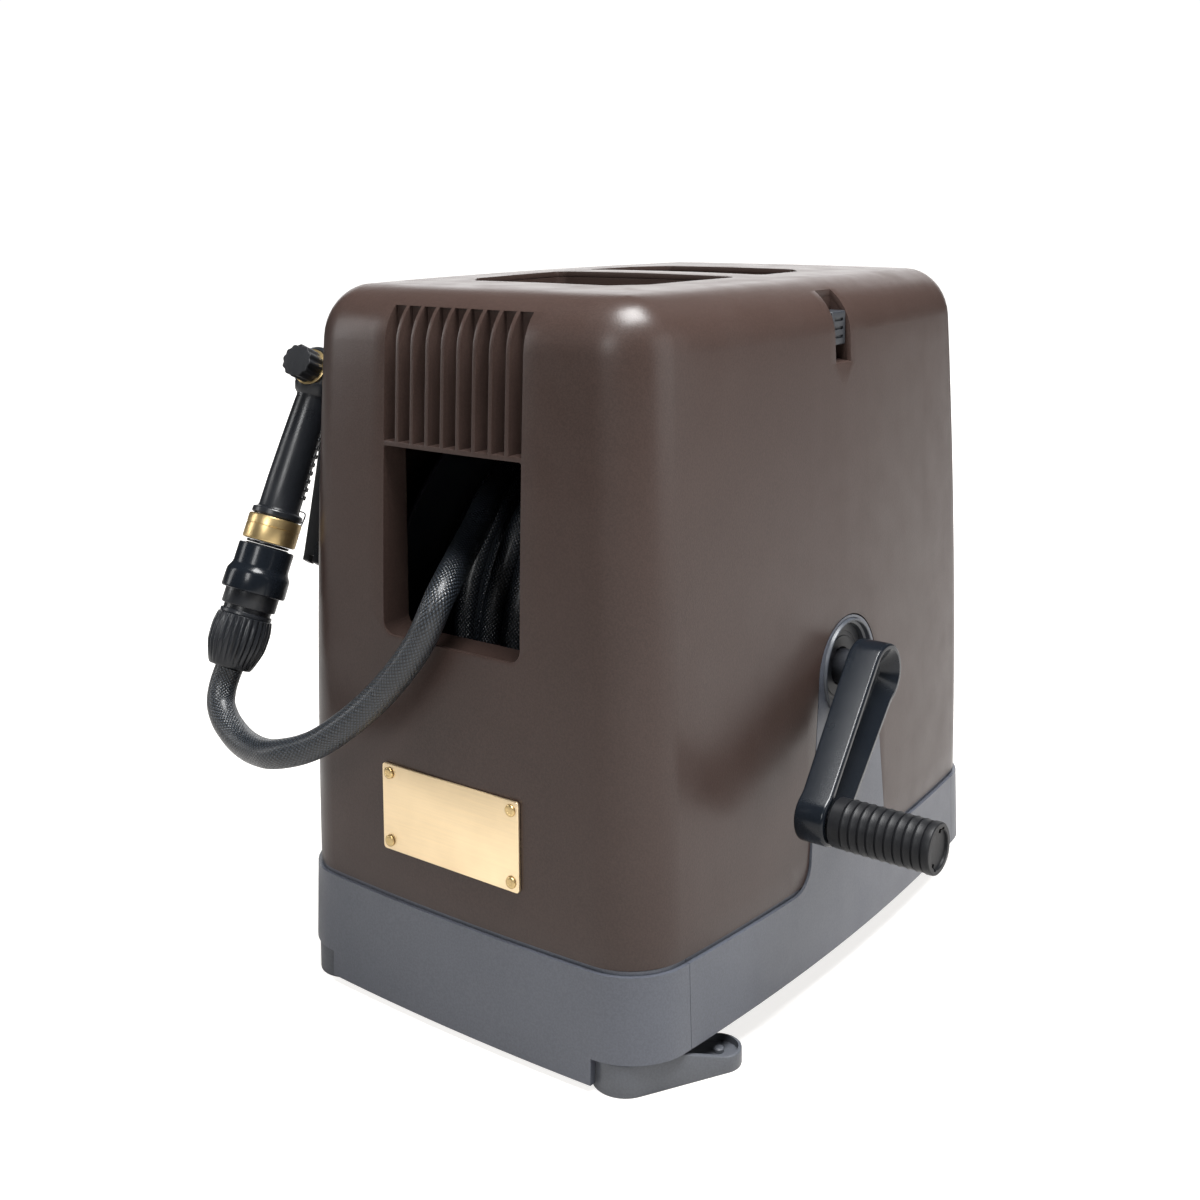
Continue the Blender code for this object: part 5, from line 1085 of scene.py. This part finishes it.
# The trigger: a bent black blade on a steel pin, with stiff flanged sides and a flared,
# notched lower end.
trigger_line = smooth_line([Vector((y, z, 0)) for y, z in (
    (0.020, -0.0215), (0.0285, -0.045), (0.038, -0.078), (0.046, -0.108))], 8)
outer_side, inner_side = [], []
for k, here in enumerate(trigger_line):
    run = trigger_line[min(k + 1, len(trigger_line) - 1)] - trigger_line[max(k - 1, 0)]
    across = Vector((-run.y, run.x, 0)).normalized() * 0.00175
    outer_side.append((here.x + across.x, here.y + across.y))
    inner_side.append((here.x - across.x, here.y - across.y))
blade = slab("trigger_blade", outer_side + [(0.052, -0.112), (0.0515, -0.1135), (0.045, -0.1125)]
             + inner_side[::-1], -0.006, 0.006, Y_Z_PLANE)
bevelled(blade, 0.0007)
cut(blade, turned("eye", ((0.0044, -0.006), (0.0046, -0.0057), (0.0046, 0.0057), (0.0044, 0.006)), 48,
                  place=cross), "UNION")
cut(blade, turned("eye_hole", ((0.0022, -0.012), (0.0022, 0.012)), 32, place=cross))
cut(blade, block("notch", (-0.0016, 0.044, -0.120), (0.0016, 0.056, -0.1085)))
fitted(placed(blade, gun_body_place), "trigger", "gun_plastic", gun_plastic, "trigger")

# The trigger lock: a small brass catch on the ring, and a loop of thin steel wire that swings
# out to hold the trigger.
catch = block("lock_catch", (-0.003, 0.0135, -0.1088), (0.003, 0.0201, -0.0995))
applied(catch, "BEVEL", width=0.0006, segments=2)
cut(catch, turned("ring_room", ((0.0158, -0.135), (0.0158, -0.08)), 72))
fitted(placed(catch, gun_body_place), "cover", "brass", brass, "clip_catch")
clip_y, clip_z = 0.0186, -0.1050
loop = smooth_line([gun_place @ Vector((x, clip_y + y, clip_z + z)) for x, y, z in (
    (-0.0038, 0, 0), (-0.0038, 0.0015, 0.0095), (-0.0036, 0.0030, 0.0165), (-0.0023, 0.0032, 0.0188),
    (0.0, 0.0032, 0.0190), (0.0023, 0.0032, 0.0188), (0.0036, 0.0030, 0.0165), (0.0038, 0.0015, 0.0095),
    (0.0038, 0, 0))], 6)
fitted(hose_tube("lock_wire", loop, 0.0005, 12), "wire_clip", "steel", steel, "wire_clip")

# The quick connector on the hose's end: a black inner body, and a glossy sliding collar that
# steps out half-way to a wider skirt.
inner = turned("connector_core", [(0.0120, -0.1109), (0.0125, -0.1113), (0.0125, -0.1360),
                                  (0.0152, -0.1364), (0.0157, -0.1370), (0.0157, -0.1466),
                                  (0.0153, -0.1473), (0.0138, -0.1476), (0.0138, -0.1498),
                                  (0.0148, -0.1501), (0.0150, -0.1506), (0.0150, -0.1520)])
fitted(placed(inner, gun_body_place), "cover", "gun_plastic", gun_plastic, "connector_body")
collar = turned("sliding_collar", [
    (0.0129, -0.1115), (0.0154, -0.1115), (0.0160, -0.1119), (0.0162, -0.1128), (0.0162, -0.1228),
    (0.0166, -0.1244), (0.0176, -0.1262), (0.0183, -0.1275), (0.0185, -0.1290), (0.0187, -0.1372),
    (0.0184, -0.1382), (0.0178, -0.1386), (0.0163, -0.1386), (0.0163, -0.1285), (0.0129, -0.1255)], 96, True)
fitted(placed(collar, gun_body_place), "connector_collar", "gloss_plastic", gloss_black, "connector_collar")

# The hose nut: a barrel-shaped black nut with twenty-eight grip ribs that end in a scalloped
# edge, screwed on to the connector and gripping the hose.
nut_ribs, rib_depth = 28, 0.0010
nut_top, rib_start, rib_end, rib_runout = -0.1524, -0.1540, -0.1800, 0.006
nut = turned("ribbed_nut", [
    (0.0150, -0.1523), (0.0157, -0.1527), (0.0163, -0.1550), (0.0168, -0.1580), (0.0170, -0.1605),
    (0.0170, -0.1640), (0.0168, -0.1675), (0.0165, -0.1700), (0.0155, -0.1735), (0.0141, -0.1775),
    (0.0129, -0.1805), (0.0123, -0.1815), (0.0118, -0.1820)], nut_ribs * 8)
for v in nut.data.vertices:
    turn, radius = atan2(v.co.y, v.co.x), hypot(v.co.x, v.co.y)
    share = min(1.0, max(0.0, (v.co.z - rib_end) / rib_runout))
    share *= min(1.0, max(0.0, (rib_start - v.co.z) / 0.001 + 1))
    dip = rib_depth * share * (0.5 - 0.5 * cos(nut_ribs * turn)) ** 1.5
    if radius > 0.0119 and v.co.z < nut_top:
        v.co.x *= 1 - dip / radius
        v.co.y *= 1 - dip / radius
nut = fitted(placed(nut, gun_body_place), "cover", "gun_plastic", gun_plastic, "hose_nut")

# Pieces behind or inside the others keep the frame's own shape: the uprights and the gun's
# holder are moulded plastic, and the pins and the spindle are steel.
for name, finish in (("upright_right", base_plastic), ("upright_left", base_plastic),
                     ("gun_holder", drum_plastic), ("crank_spindle", steel), ("trigger_pin", steel),
                     ("foot_pin_right", steel), ("foot_pin_left", steel)):
    for slot in nodes[name].material_slots:
        slot.material = finish
